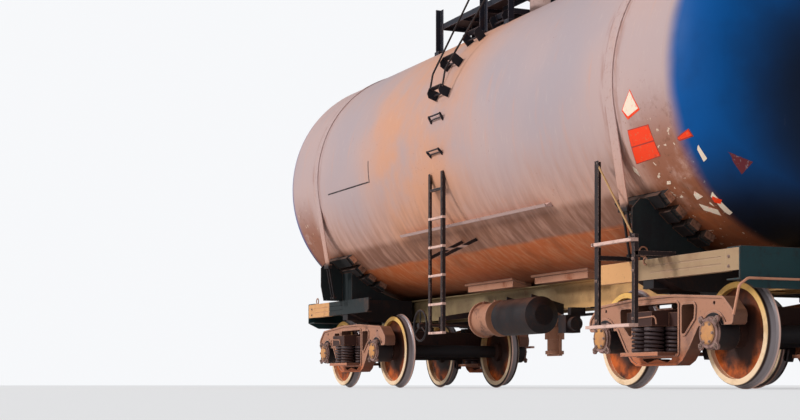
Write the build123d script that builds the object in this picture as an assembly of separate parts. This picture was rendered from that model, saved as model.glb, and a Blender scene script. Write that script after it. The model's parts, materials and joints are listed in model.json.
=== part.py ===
"""Four-axle railway tank car for 1520 mm gauge.

Millimetres. +X runs along the car towards end a, +Y across it, +Z up.
The origin is under the middle of the car, level with the bottom of the wheel flanges.
The car has half-turn symmetry: end b and the far side are end a and the near side
turned 180 degrees about Z, apart from the brake gear under the frame.
"""
from build123d import *
import math
import os

os.makedirs("parts", exist_ok=True)

# Running gear
flange_height = 28.0
wheel_diameter = 950.0
back_to_back = 1440.0
rim_width = 130.0
rim_thickness = 62.0
hub_radius = 128.0
axle_radius = 82.0
journal_radius = 65.0
journal_length = 190.0
journal_spacing = 2036.0
pivot_base = 7800.0
bogie_wheelbase = 1850.0
bearing_gap = 0.1

# Tank
tank_radius = 1610.0
tank_axis_height = 2850.0
barrel_length = 9580.0
crown_radius = 2900.0
knuckle_radius = 550.0
hatch_radius = 285.0
hatch_wall = 14.0
hatch_rise = 250.0
hatch_well_depth = 420.0

# Frame, heights above the rail
frame_length = 10720.0
frame_half_width = 1190.0
sill_top = 1200.0
sill_depth = 310.0
sill_inner_half = 165.0
sill_outer_half = 255.0
plate = 14.0
coupler_height = 1060.0
coupled_length = 12020.0
coupler_reach = 1000.0
centre_plate_height = 806.0

# Clearances
seat_gap = 0.3
running_gap = 6.0

# Places worked out from the sizes above
rail = flange_height
wheel_radius = wheel_diameter / 2
flange_radius = wheel_radius + flange_height
axle_z = rail + wheel_radius
tank_z = rail + tank_axis_height
tank_top = tank_z + tank_radius
shell_radius = tank_radius + seat_gap
pivot_x = pivot_base / 2
half_wheelbase = bogie_wheelbase / 2
beam_x = frame_length / 2
sill_top_z = rail + sill_top
sill_bottom_z = sill_top_z - sill_depth
coupler_z = rail + coupler_height
centre_plate_z = rail + centre_plate_height
journal_y = journal_spacing / 2


def block(x, y, z):
    """A box between pairs of low and high values."""
    middle = ((x[0] + x[1]) / 2, (y[0] + y[1]) / 2, (z[0] + z[1]) / 2)
    return Pos(*middle) * Box(abs(x[1] - x[0]), abs(y[1] - y[0]), abs(z[1] - z[0]))


def rod(start, end, radius):
    """A round bar from one point to another."""
    along = Vector(*end) - Vector(*start)
    plane = Plane(origin=start, z_dir=along)
    return plane * Cylinder(radius, along.length, align=(Align.CENTER, Align.CENTER, Align.MIN))


def bent_rod(points, radius):
    """Round bars through the points, with a ball at each bend."""
    shape = rod(points[0], points[1], radius)
    for index in range(1, len(points) - 1):
        shape += rod(points[index], points[index + 1], radius) + Pos(*points[index]) * Sphere(radius)
    return shape


def side_plate(points, y):
    """An XZ outline, as thick across the car as from y[0] to y[1]."""
    face = make_face(Polyline(*points, close=True))
    return extrude(Plane.XZ.offset(-y[1]) * face, y[1] - y[0])


def cross_plate(points, x):
    """A YZ outline, as thick along the car as from x[0] to x[1]."""
    face = make_face(Polyline(*points, close=True))
    return extrude(Plane.YZ.offset(x[0]) * face, x[1] - x[0])


def flat_plate(points, z):
    """An XY outline from z[0] up to z[1]."""
    face = make_face(Polyline(*points, close=True))
    return extrude(Plane.XY.offset(z[0]) * face, z[1] - z[0])


def drum(x, y, z, radius):
    """A cylinder along the car."""
    return rod((x[0], y, z), (x[1], y, z), radius)


def far_side(shape):
    """The shape mirrored to the other side of the car."""
    return mirror(shape, about=Plane.XZ)


def turned(shape):
    """The shape turned half round the car's middle."""
    return Rot(0, 0, 180) * shape


def round_tank(shape, angle):
    """A shape modelled at the near side's widest line, turned up round the tank by an angle."""
    return Pos(0, 0, tank_z) * Rot(-angle, 0, 0) * Pos(0, 0, -tank_z) * shape


def write(name, *shapes):
    """Write one node; its solids don't touch."""
    solids = [solid for shape in shapes for solid in shape.solids()]
    export_step(Compound(children=solids) if len(solids) > 1 else solids[0], "parts/" + name + ".step")


def tank_cutter(extra=0.0):
    """What the tank shell fills, with its seat gap, over the whole length."""
    return drum((-beam_x, beam_x), 0, tank_z, shell_radius + extra)


# Tank barrel, with the well under the hatch
barrel = drum((-barrel_length / 2, barrel_length / 2), 0, tank_z, tank_radius)
well_bottom = tank_top - hatch_well_depth
barrel -= rod((0, 0, well_bottom), (0, 0, tank_top + hatch_rise), hatch_radius)
write("tank_barrel", barrel)


def head_profile():
    """Half outline of a dished head: a knuckle arc, then a crown arc, closed along the axis."""
    knuckle_centre = Vector(0, tank_radius - knuckle_radius)
    reach = math.sqrt((crown_radius - knuckle_radius) ** 2 - knuckle_centre.Y ** 2)
    depth = crown_radius - reach
    crown_angle = math.atan2(knuckle_centre.Y, reach)
    crown_centre_x = -reach

    def on_crown(angle):
        return (crown_centre_x + crown_radius * math.cos(angle), crown_radius * math.sin(angle))

    def on_knuckle(angle):
        return (knuckle_radius * math.cos(angle), knuckle_centre.Y + knuckle_radius * math.sin(angle))

    quarter = math.pi / 2
    knuckle = ThreePointArc(on_knuckle(quarter), on_knuckle((quarter + crown_angle) / 2), on_knuckle(crown_angle))
    crown = ThreePointArc(on_crown(crown_angle), on_crown(crown_angle / 2), (depth, 0))
    sides = Polyline((depth, 0), (0, 0), (0, tank_radius))
    return make_face(Curve() + [knuckle, crown, sides])


head = Pos(barrel_length / 2, 0, tank_z) * revolve(head_profile(), Axis.X)
write("tank_head_a", head)
write("tank_head_b", turned(head))

# Tie bands over the tank at the bogie pivots, drawn down by rods at each side
band_width = 140.0
band_thickness = 10.0
band_foot_y = 1350.0
band_foot_z = sill_top_z + plate
band_end_z = rail + 1640.0
rod_pitch = 80.0
tie_rod_radius = 13.0


def tie_band():
    """Strap over the top, straight tangent tails, crossheads and two rods a side."""
    inner = tank_radius + seat_gap
    outer = inner + band_thickness
    foot = math.hypot(band_foot_y, tank_z - band_foot_z)
    slope = math.atan2(band_foot_z - tank_z, -band_foot_y)
    lean = slope - math.acos(inner / foot)
    normal = Vector(math.cos(lean), math.sin(lean))
    tail = Vector(-normal.Y, normal.X)
    reach = (tank_z - band_end_z + inner * normal.Y) / -tail.Y
    x = (pivot_x - band_width / 2, pivot_x + band_width / 2)
    ring = drum(x, 0, tank_z, outer) - drum(x, 0, tank_z, inner)
    below = normal * (outer * 2)
    start = normal * inner
    cut = [(0, 0), (below.X, below.Y), (below.X, -outer * 2), (-below.X, -outer * 2), (-below.X, below.Y)]
    ring -= Pos(0, 0, tank_z) * cross_plate(cut, x)
    corners = [start, start + tail * reach, start + tail * reach + normal * band_thickness,
               start + normal * band_thickness]
    strap = Pos(0, 0, tank_z) * cross_plate([(point.X, point.Y) for point in corners], x)
    end = start + tail * (reach - 30) + normal * (band_thickness / 2)
    head_y = end.X
    head_z = tank_z + end.Y
    tails = strap + block((x[0] - 12, x[1] + 12), (head_y - 28, head_y + 28), (head_z - 30, head_z + 30))
    for shift in (-rod_pitch / 2, rod_pitch / 2):
        top = (pivot_x + shift, head_y, head_z - 20)
        foot_point = (pivot_x + shift, -band_foot_y - 6, band_foot_z + 8)
        tails += rod(top, foot_point, tie_rod_radius)
        tails += block((pivot_x + shift - 24, pivot_x + shift + 24), (-band_foot_y - 28, -band_foot_y + 20),
                       (band_foot_z, band_foot_z + 30))
    return ring + tails + far_side(tails)


band = tie_band()
write("tie_band_a", band)
write("tie_band_b", turned(band))

# Saddles: two cross plates a side, cradling three lengthwise timbers in troughs
saddle_half_length = 190.0
saddle_half_width = 1380.0
saddle_top_z = rail + 1752.0
timber_width = 110.0
timber_thickness = 62.0
timber_half_length = 430.0
trough_wall = 12.0
timber_angles = (45.0, 33.5, 22.0)
bed_radius = shell_radius + timber_thickness


def saddle_side():
    """The near half of a saddle, a welded box whose plates follow the tank."""
    low = sill_top_z
    inner_y = math.sqrt((bed_radius + trough_wall) ** 2 - (tank_z - low) ** 2)
    outline = [(-saddle_half_width, low), (-saddle_half_width, saddle_top_z - 60),
               (-saddle_half_width + 60, saddle_top_z), (-900, saddle_top_z), (-inner_y, low)]
    webs = None
    for x in (-saddle_half_length, saddle_half_length - plate):
        web = cross_plate(outline, (pivot_x + x, pivot_x + x + plate))
        webs = web if webs is None else webs + web
    x = (pivot_x - saddle_half_length, pivot_x + saddle_half_length)
    webs += block(x, (-1250, -1250 + plate), (low, saddle_top_z))
    webs += block(x, (-saddle_half_width, -inner_y), (low, low + plate))
    webs += block(x, (-1010, -1010 + plate), (low, saddle_top_z))
    webs -= drum(x, 0, tank_z, bed_radius + trough_wall)
    for angle in timber_angles:
        half = timber_width / 2 + trough_wall
        long = (pivot_x - timber_half_length + 60, pivot_x + timber_half_length - 60)
        bed = block(long, (-half, half), (tank_z - bed_radius - trough_wall - 14, tank_z - bed_radius))
        lips = block(long, (-half, half), (tank_z - bed_radius - trough_wall, tank_z - bed_radius + 26))
        lips -= block(long, (-half + trough_wall, half - trough_wall), (tank_z - bed_radius, tank_z))
        trough = Pos(0, 0, tank_z) * Rot(-angle, 0, 0) * Pos(0, 0, -tank_z) * (bed + lips)
        webs += trough
    return webs - tank_cutter()


def timbers():
    """The bearers between the tank and one side's troughs."""
    pieces = []
    for angle in timber_angles:
        long = (pivot_x - timber_half_length, pivot_x + timber_half_length)
        beam = block(long, (-timber_width / 2, timber_width / 2),
                     (tank_z - bed_radius, tank_z - shell_radius + 12))
        beam = Pos(0, 0, tank_z) * Rot(-angle, 0, 0) * Pos(0, 0, -tank_z) * beam
        pieces.append(beam - tank_cutter())
    return pieces


near_saddle = saddle_side()
write("saddle_a", near_saddle, far_side(near_saddle))
write("saddle_b", turned(near_saddle), turned(far_side(near_saddle)))
near_timbers = timbers()
all_timbers = near_timbers + [far_side(beam) for beam in near_timbers]
write("saddle_timbers", *all_timbers, *[turned(beam) for beam in all_timbers])

# Centre sill: two Z beams under a cover plate, open below, with the draft pins at its ends
beam_depth = 210.0
sill_end = beam_x - beam_depth
pin_x = coupled_length / 2 - coupler_reach
pin_radius = 40.0
web_foot = 12.0
outlet_hole_radius = 150.0


def centre_sill():
    """The two Z beams with their cover, pivot floors and draft pins."""
    x = (-sill_end, sill_end)
    web = block(x, (-sill_inner_half - web_foot, -sill_inner_half), (sill_bottom_z, sill_top_z))
    web += block(x, (-sill_outer_half, -sill_inner_half), (sill_bottom_z, sill_bottom_z + plate))
    sill = web + far_side(web)
    sill += block(x, (-sill_outer_half, sill_outer_half), (sill_top_z - plate, sill_top_z))
    for side in (-1, 1):
        centre = side * pivot_x
        sill += block((centre - 330, centre + 330), (-sill_inner_half, sill_inner_half),
                      (sill_bottom_z, sill_bottom_z + plate))
        pocket = sorted((side * (pin_x - 150), side * (pin_x + 90)))
        sill += block(pocket, (-sill_inner_half, sill_inner_half), (sill_bottom_z, sill_bottom_z + plate))
        sill += rod((side * pin_x, 0, sill_bottom_z), (side * pin_x, 0, sill_top_z), pin_radius)
    return sill


write("centre_sill", centre_sill())

# Upper centre plate and bolster beams
bolster_half = 240.0
bolster_end_depth = 190.0
upper_plate_radius = 150.0
pipe_y = 330.0
pipe_z = rail + 1075.0
pipe_radius = 21.0
pipe_hole_radius = 34.0
jack_pad_half = 90.0
jack_pad_z = 950.0
side_bearer_y = 762.0
side_bearer_half = 110.0
side_bearer_z = rail + 835.0


def bolster_beam():
    """Box arms beside the centre sill, deeper towards the pivot, and the upper centre plate."""
    top = sill_top_z
    tip = frame_half_width - plate
    outline = [(-sill_outer_half, top), (-tip, top), (-tip, top - bolster_end_depth),
               (-side_bearer_y - 160, sill_bottom_z), (-sill_outer_half, sill_bottom_z)]
    inner = [(-sill_outer_half - 30, top - plate), (-tip + plate, top - plate),
             (-tip + plate, top - bolster_end_depth + plate),
             (-side_bearer_y - 160, sill_bottom_z + plate), (-sill_outer_half - 30, sill_bottom_z + plate)]
    x = (pivot_x - bolster_half, pivot_x + bolster_half)
    arm = cross_plate(outline, x)
    arm -= cross_plate(inner, (pivot_x + plate, pivot_x + bolster_half - plate))
    arm -= cross_plate(inner, (pivot_x - bolster_half + plate, pivot_x - plate))
    arm += block((pivot_x - 90, pivot_x + 90), (-side_bearer_y - side_bearer_half, -side_bearer_y + side_bearer_half),
                 (side_bearer_z, sill_bottom_z))
    arm += block((pivot_x - jack_pad_half, pivot_x + jack_pad_half), (-tip, -tip + 2 * jack_pad_half),
                 (jack_pad_z, top - bolster_end_depth + plate))
    other = far_side(arm) - drum(x, pipe_y, pipe_z, pipe_hole_radius)
    disc = rod((pivot_x, 0, centre_plate_z + seat_gap), (pivot_x, 0, sill_bottom_z), upper_plate_radius)
    disc += rod((pivot_x, 0, sill_bottom_z - 30), (pivot_x, 0, sill_bottom_z), upper_plate_radius + 70)
    return arm, other, disc


beams = bolster_beam()
write("bolster_beam_a", *beams)
write("bolster_beam_b", *[turned(far_side(piece)) for piece in beams])

# End beams with the coupler striker
beam_top_z = rail + 1215.0
beam_bottom_z = rail + 850.0
beam_flange_z = rail + 925.0
striker_half = 285.0
striker_out = 110.0
mouth_half = 190.0
mouth_height = 250.0


def end_beam():
    """A deep channel across the end, with the striker round the coupler's mouth."""
    back = beam_x - beam_depth
    width = (-frame_half_width, frame_half_width)
    beam = block((beam_x - plate, beam_x), width, (beam_bottom_z, beam_top_z))
    beam += block((back, beam_x), width, (beam_top_z - plate, beam_top_z))
    beam += block((back, beam_x), width, (beam_flange_z, beam_flange_z + plate))
    for y in ((-frame_half_width, -frame_half_width + plate), (frame_half_width - plate, frame_half_width)):
        beam += block((back, beam_x), y, (beam_flange_z, beam_top_z))
    beam += block((back, beam_x), (-sill_outer_half - 40, sill_outer_half + 40), (beam_flange_z, beam_top_z))
    striker = block((beam_x, beam_x + striker_out), (-striker_half, striker_half),
                    (coupler_z - 190, coupler_z + 190))
    striker = chamfer(striker.edges().filter_by(Axis.X), 60)
    beam += striker
    beam -= block((back - 1, beam_x + striker_out + 1), (-mouth_half, mouth_half),
                  (coupler_z - mouth_height / 2, coupler_z + mouth_height / 2))
    return beam - drum((back - 1, beam_x + 1), pipe_y, pipe_z, pipe_hole_radius)


near_end_beam = end_beam()
write("end_beam_a", near_end_beam)
write("end_beam_b", turned(far_side(near_end_beam)))

# Side sills from the end beams back past the saddles
side_sill_inner = 3010.0
side_sill_low = rail + 1005.0
side_sill_high = sill_top_z
side_sill_flange = 75.0
groove_depth = 5.0


def side_sill():
    """A channel with its web outward and two long grooves pressed in it."""
    back = beam_x - beam_depth
    outer = (-frame_half_width, -frame_half_width + plate)
    sill = side_plate([(side_sill_inner, side_sill_low + 40), (side_sill_inner + 60, side_sill_low),
                       (back, side_sill_low), (back, side_sill_high), (side_sill_inner, side_sill_high)], outer)
    for z in (side_sill_low, side_sill_high - plate):
        for x in ((side_sill_inner + 60, pivot_x - bolster_half), (pivot_x + bolster_half, back)):
            sill += block(x, (-frame_half_width, -frame_half_width + side_sill_flange), (z, z + plate))
    for z in (side_sill_low + 60, side_sill_high - 72):
        sill -= block((pivot_x + 60, back - 60), (-frame_half_width, -frame_half_width + groove_depth), (z, z + 12))
    return sill


near_sill = side_sill()
side_sills = [near_sill, far_side(near_sill)]
write("side_sills", *side_sills, *[turned(sill) for sill in side_sills])

# Anchor brackets that fix the tank's middle to the centre sill
bracket_start = 280.0
bracket_end = 1500.0
bracket_y = 330.0
bracket_half = 95.0


def anchor_bracket():
    """A pad on the tank, a web below it and a foot bolted to the sill's edge."""
    long = (bracket_start, bracket_end)
    foot_z = sill_top_z
    pad = block((long[0] - 40, long[1] + 40), (-bracket_y - bracket_half - 30, -bracket_y + 60), (foot_z, tank_z))
    pad &= drum((long[0] - 40, long[1] + 40), 0, tank_z, shell_radius + 22)
    web = block(long, (-bracket_y - bracket_half, -bracket_y - bracket_half + plate), (foot_z, tank_z - 1400))
    foot = block(long, (-bracket_y - bracket_half, -sill_inner_half), (foot_z, foot_z + plate))
    ribs = None
    for x in (long[0], (long[0] + long[1]) / 2 - plate / 2, long[1] - plate):
        rib = block((x, x + plate), (-bracket_y - bracket_half, -sill_inner_half), (foot_z, tank_z - 1400))
        ribs = rib if ribs is None else ribs + rib
    return (pad + web + foot + ribs) - tank_cutter()


near_bracket = anchor_bracket()
pair = [near_bracket, far_side(near_bracket)]
write("anchor_brackets", *pair, *[turned(bracket) for bracket in pair])

# Side ladders at mid length
ladder_half = 192.0
ladder_y = 1585.0
ladder_bottom = rail + 605.0
ladder_top = rail + 2490.0
stile_leg = 45.0
stile_wall = 7.0
rung_pitch = 335.0
rung_depth = 42.0
rung_height = 26.0
strut_foot_z = rail + 1520.0
strut_top_z = rail + 1735.0


def angle_stile(x, z, hand):
    """An upright angle bar; hand says which way its cross leg points."""
    leg = block((x, x + hand * stile_leg), (-ladder_y - stile_wall, -ladder_y), z)
    return leg + block((x, x + hand * stile_wall), (-ladder_y, -ladder_y + stile_leg - stile_wall), z)


def side_ladder():
    """Two angle stiles, bar rungs, top fixings and the struts to the tank."""
    z = (ladder_bottom, ladder_top)
    ladder = angle_stile(-ladder_half, z, 1) + angle_stile(ladder_half, z, -1)
    rung = ladder_bottom
    while rung < ladder_top - rung_height:
        ladder += block((-ladder_half, ladder_half), (-ladder_y, -ladder_y + rung_depth), (rung, rung + rung_height))
        rung += rung_pitch
    for side in (-1, 1):
        x = sorted((side * ladder_half, side * (ladder_half - stile_wall)))
        gusset = [(-ladder_y, ladder_top), (-ladder_y, ladder_top - 110), (-1400, ladder_top - 110),
                  (-1400, ladder_top)]
        ladder += cross_plate(gusset, x)
        reach = math.sqrt(shell_radius ** 2 - (tank_z - strut_top_z) ** 2)
        slope = [(-ladder_y, strut_foot_z), (-ladder_y, strut_foot_z - stile_leg),
                 (-reach + 60, strut_top_z - stile_leg + 20), (-reach + 60, strut_top_z + 20)]
        ladder += cross_plate(slope, x)
    return ladder - tank_cutter()


near_ladder = side_ladder()
write("side_ladder_near", near_ladder)
write("side_ladder_far", turned(near_ladder))

# Steps up the side of the tank: plain rungs low down, gusseted treads above
step_half = 222.0
rung_bar_radius = 11.0
rung_stand_off = 75.0
tread_stand_off = 150.0
tread_gusset = 140.0
rung_angles = (-4.0, 10.5)
tread_angles = (22.8, 35.0, 47.5, 60.0)


def tank_rung():
    """A bar on two legs."""
    y = -tank_radius - rung_stand_off
    rung = rod((-step_half, y, tank_z), (step_half, y, tank_z), rung_bar_radius)
    for side in (-1, 1):
        x = side * (step_half - rung_bar_radius)
        rung += block((x - 8, x + 8), (y, -tank_radius + 30), (tank_z - 22, tank_z + 22))
    return rung - tank_cutter()


def tank_tread():
    """Two cropped gusset plates with a tread bar and a strip between them."""
    top = tread_gusset / 2
    out = tank_radius + tread_stand_off
    outline = [(-tank_radius + 40, tank_z - top), (-out + 50, tank_z - top), (-out, tank_z - top + 60),
               (-out, tank_z + top), (-tank_radius + 40, tank_z + top)]
    tread = None
    for side in (-1, 1):
        x = sorted((side * step_half, side * (step_half - 8)))
        gusset = cross_plate(outline, x)
        tread = gusset if tread is None else tread + gusset
    tread += block((-step_half, step_half), (-out, -out + 60), (tank_z + top - 10, tank_z + top))
    tread += rod((-step_half, -tank_radius - 60, tank_z), (step_half, -tank_radius - 60, tank_z), rung_bar_radius)
    return tread - tank_cutter()


near_steps = [round_tank(tank_rung(), angle) for angle in rung_angles]
near_steps += [round_tank(tank_tread(), angle) for angle in tread_angles]
write("tank_steps", *near_steps, *[turned(step) for step in near_steps])

# Platform round the hatch
deck_half_length = 1630.0
deck_half_width = 750.0
deck_top = rail + 4640.0
deck_edge = 70.0
deck_skin = 6.0
post_leg = 75.0
post_wall = 8.0
entry_half = 375.0
hatch_room = 460.0
outer_post_top = rail + 4820.0
inner_post_top = rail + 5060.0
vent_x = 980.0
vent_room = 150.0
walk_strip = 170.0


def platform_deck():
    """A plate with turned-down edges, cross bearers and a square opening round the hatch."""
    x = (-deck_half_length, deck_half_length)
    y = (-deck_half_width, deck_half_width)
    deck = block(x, y, (deck_top - deck_edge, deck_top))
    hollow_x = (x[0] + deck_skin, x[1] - deck_skin)
    hollow_y = (y[0] + deck_skin, y[1] - deck_skin)
    deck -= block(hollow_x, hollow_y, (deck_top - deck_edge, deck_top - deck_skin))
    for place in (-1080, -600, 600, 1080):
        deck += block((place, place + deck_skin), hollow_y, (deck_top - deck_edge + 10, deck_top - deck_skin))
    room = (-hatch_room, hatch_room)
    rim = (-hatch_room - deck_skin, hatch_room + deck_skin)
    deck += block(rim, rim, (deck_top - deck_edge, deck_top))
    deck -= block(room, room, (deck_top - deck_edge, deck_top))
    return deck - rod((vent_x, 0, deck_top - deck_edge), (vent_x, 0, deck_top), vent_room)


def platform_posts():
    """Angle posts from the tank up past the deck's edge, and short legs under its middle."""
    posts = []
    for x, top in ((deck_half_length, outer_post_top), (entry_half, inner_post_top)):
        y = -deck_half_width - post_wall
        foot = tank_z + math.sqrt(tank_radius ** 2 - deck_half_width ** 2) - 60
        leg = block((x - post_leg, x), (y, y + post_wall), (foot, top))
        leg += block((x - post_wall, x), (y - post_leg + post_wall, y), (foot, top))
        leg += block((x - post_leg - 20, x + 20), (y - post_leg, y + post_wall), (foot, foot + 62))
        posts.append(leg - tank_cutter())
    leg_y = 300.0
    foot = tank_z + math.sqrt(tank_radius ** 2 - leg_y ** 2) - 40
    for x in (deck_half_length - 120, hatch_room + 120):
        leg = block((x - post_wall, x), (-leg_y - post_leg, -leg_y), (foot, deck_top - deck_skin))
        leg += block((x - post_leg, x), (-leg_y - post_wall, -leg_y), (foot, deck_top - deck_skin))
        posts.append(leg - tank_cutter())
    return posts


write("platform_deck", platform_deck())
quarter_posts = platform_posts()
half_posts = quarter_posts + [far_side(post) for post in quarter_posts]
write("platform_posts", *half_posts, *[turned(post) for post in half_posts])

# Handrails beside the steps, up to the inner posts
handrail_radius = 12.0


def handrail():
    """One rail from the first tread's gusset to the inner post's top."""
    first = math.radians(tread_angles[0])
    out = tank_radius + tread_stand_off
    foot = (step_half + handrail_radius + seat_gap, -out * math.cos(first) + 30, tank_z + out * math.sin(first))
    post_y = -deck_half_width - post_wall - handrail_radius - post_leg
    points = [foot, (foot[0], -1560.0, rail + 3700.0), (entry_half - 40, post_y, inner_post_top - 140),
              (entry_half - 40, post_y, inner_post_top - 20)]
    return bent_rod(points, handrail_radius)


rail_right = handrail()
rail_left = mirror(rail_right, about=Plane.YZ)
near_rails = [rail_right, rail_left]
write("step_handrails", *near_rails, *[turned(piece) for piece in near_rails])

# Hatch neck and its lid
neck_outer = hatch_radius + hatch_wall
neck_top = tank_top + hatch_rise
hatch_flange = 45.0
lid_radius = neck_outer + hatch_flange
lid_edge = 30.0
hinge_x = -lid_radius - 40.0
hinge_pin_radius = 14.0
ear_half = 27.0
hinge_z = neck_top + 20.0
lug_half = 90.0
lid_crown = 1000.0


def hatch_neck():
    """A ring on the tank with a flange, a hinge fork and four clamp posts."""
    bottom = tank_z + math.sqrt(tank_radius ** 2 - neck_outer ** 2) - 40
    neck = rod((0, 0, bottom), (0, 0, neck_top), neck_outer)
    neck += rod((0, 0, neck_top - 24), (0, 0, neck_top), lid_radius)
    fork = None
    for y in (-lug_half, lug_half - 20):
        ear = [(hinge_x - ear_half, hinge_z + ear_half), (hinge_x - ear_half, hinge_z - ear_half),
               (-neck_outer + 30, neck_top - 190), (-neck_outer + 30, neck_top - 24),
               (hinge_x + ear_half, neck_top - 24), (hinge_x + ear_half, hinge_z + ear_half)]
        cheek = side_plate(ear, (y, y + 20))
        fork = cheek if fork is None else fork + cheek
    fork += rod((hinge_x, -lug_half, hinge_z), (hinge_x, lug_half, hinge_z), hinge_pin_radius)
    neck += fork
    neck -= rod((0, 0, bottom), (0, 0, neck_top), hatch_radius)
    return neck - tank_cutter()


def hatch_lid():
    """A dished cover with a rim, hinge arms and a lifting bar."""
    low = neck_top + seat_gap
    lid = rod((0, 0, low), (0, 0, low + lid_edge), lid_radius)
    rise = 46.0
    sphere_radius = (lid_radius ** 2 + rise ** 2) / (2 * rise)
    dome = Pos(0, 0, low + lid_edge + rise - sphere_radius) * Sphere(sphere_radius)
    dome &= rod((0, 0, low + lid_edge), (0, 0, low + lid_edge + rise), lid_radius)
    lid += dome
    inner = lug_half - 20 - running_gap
    for y in ((-inner, -inner + 22), (inner - 22, inner)):
        arm = [(hinge_x - 26, hinge_z - 26), (hinge_x + 26, hinge_z - 26 + 4), (hinge_x + 30, low + 4),
               (-180, low + 4), (-180, low + lid_edge + 34), (hinge_x - 26, hinge_z + 26)]
        lid += side_plate(arm, y)
    lid -= rod((hinge_x, -lug_half, hinge_z), (hinge_x, lug_half, hinge_z), hinge_pin_radius + bearing_gap)
    lid += bent_rod([(210, -90, low + lid_edge), (210, -90, low + lid_edge + 90),
                     (210, 90, low + lid_edge + 90), (210, 90, low + lid_edge)], 11.0)
    return lid


write("hatch_neck", hatch_neck())
write("hatch_lid", hatch_lid())

# Relief valve beside the hatch
valve_radius = 58.0
valve_top = deck_top + 150.0


def relief_valve():
    """A flanged body with a wider cap."""
    bottom = tank_top - 20
    valve = rod((vent_x, 0, bottom), (vent_x, 0, valve_top - 60), valve_radius)
    valve += rod((vent_x, 0, bottom), (vent_x, 0, tank_top + 30), valve_radius + 45)
    valve += rod((vent_x, 0, valve_top - 60), (vent_x, 0, valve_top), valve_radius + 24)
    return valve - tank_cutter()


write("relief_valve", relief_valve())

# Drip rails along the tank's sides
drip_start = -1510.0
drip_end = 2250.0
drip_angle = -35.6
drip_out = 72.0


def drip_rail():
    """A shelf angle standing out of the shell, with a closing plate at its end."""
    base = -tank_radius + 20
    shelf = block((drip_start, drip_end), (-tank_radius - drip_out, base), (tank_z - 5, tank_z + 5))
    shelf += block((drip_start, drip_end), (-tank_radius - drip_out, -tank_radius - drip_out + 8),
                   (tank_z - 5, tank_z + 30))
    cap = [(base, tank_z - 5), (-tank_radius - drip_out, tank_z - 5), (base, tank_z - 62)]
    shelf += cross_plate(cap, (drip_end - 8, drip_end))
    return round_tank(shelf - tank_cutter(), drip_angle)


near_drip = drip_rail()
write("drip_rails", near_drip, turned(near_drip))

# End steps hung outside the side sill near end a, and at the far side near end b
post_x = 3600.0
stile_x = 4250.0
end_step_y = 1560.0
end_post_low = rail + 580.0
end_post_top = rail + 2150.0
end_stile_low = rail + 545.0
end_stile_top = rail + 1395.0
upper_step_z = rail + 1320.0
lower_step_z = rail + 545.0
bar = 45.0
step_thickness = 30.0


def end_steps():
    """A tall post, a short stile, two treads, a diagonal stay and arms to the sill."""
    y = (-end_step_y - bar, -end_step_y)
    step = block((post_x - bar / 2, post_x + bar / 2), y, (end_post_low, end_post_top))
    step += block((stile_x - bar / 2, stile_x + bar / 2), y, (end_stile_low, end_stile_top))
    step += block((post_x - bar / 2, stile_x + bar / 2), y, (upper_step_z, upper_step_z + step_thickness))
    step += block((post_x - 110, stile_x + bar / 2), (y[0] - 20, y[1]), (lower_step_z, lower_step_z + step_thickness))
    step += rod((post_x, y[1] - bar / 2, end_post_top - 20), (stile_x, y[1] - bar / 2, end_stile_top - 20), 10.0)
    for x in (post_x, stile_x):
        step += block((x - bar / 2, x + bar / 2), (-end_step_y, -frame_half_width),
                      (side_sill_low + 60, side_sill_low + 60 + bar))
    return step


near_end_steps = end_steps()
write("end_steps", near_end_steps, turned(near_end_steps))

# Bottom outlet hanging through the open centre sill
outlet_radius = 88.0
outlet_low = rail + 360.0


def outlet_valve():
    """A flanged pipe, a bulged body, a yoke and the closed spout cap."""
    top = sill_top_z - plate
    valve = rod((0, 0, outlet_low + 60), (0, 0, top), outlet_radius)
    valve += rod((0, 0, top - 30), (0, 0, top), outlet_radius + 50)
    valve += rod((0, 0, rail + 780), (0, 0, rail + 815), outlet_radius + 42)
    valve += rod((0, 0, rail + 560), (0, 0, rail + 700), outlet_radius + 30)
    valve += rod((0, 0, outlet_low + 20), (0, 0, outlet_low + 62), outlet_radius + 24)
    valve += block((-150, 150), (-22, 22), (outlet_low, outlet_low + 22))
    for side in (-1, 1):
        valve += rod((side * 132, 0, outlet_low), (side * 132, 0, rail + 650), 13.0)
        valve += block(sorted((side * 100, side * 150)), (-24, 24), (rail + 610, rail + 650))
    return valve


write("outlet_valve", outlet_valve())

# Brake gear carried by the centre sill
drum_y = -620.0
drum_z = rail + 812.0
cylinder_radius = 195.0
cylinder_x = (-640.0, -190.0)
reservoir_radius = 215.0
reservoir_x = (-110.0, 860.0)
hanger_wall = 12.0


def hanger(x, radius, y_drum=drum_y, z_drum=drum_z):
    """A bracket plate from the sill's lower flange out over a drum."""
    outline = [(-sill_outer_half, sill_bottom_z + 60), (-sill_outer_half, sill_bottom_z - 70),
               (y_drum + 40, z_drum + radius - 60), (y_drum - 60, z_drum + radius - 30),
               (y_drum - 60, z_drum + radius + 30)]
    return cross_plate(outline, (x, x + hanger_wall))


def brake_cylinder():
    """A flanged cylinder with its push rod and two hangers."""
    body = drum(cylinder_x, drum_y, drum_z, cylinder_radius)
    body += drum((cylinder_x[0] - 18, cylinder_x[0] + 12), drum_y, drum_z, cylinder_radius + 26)
    body += drum((cylinder_x[1] - 20, cylinder_x[1]), drum_y, drum_z, cylinder_radius + 26)
    body += drum((cylinder_x[0] - 120, cylinder_x[0]), drum_y, drum_z, 90.0)
    body += drum((cylinder_x[0] - 300, cylinder_x[0]), drum_y, drum_z, 26.0)
    for x in (cylinder_x[0] + 60, cylinder_x[1] - 90):
        body += hanger(x, cylinder_radius)
    return body


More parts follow.
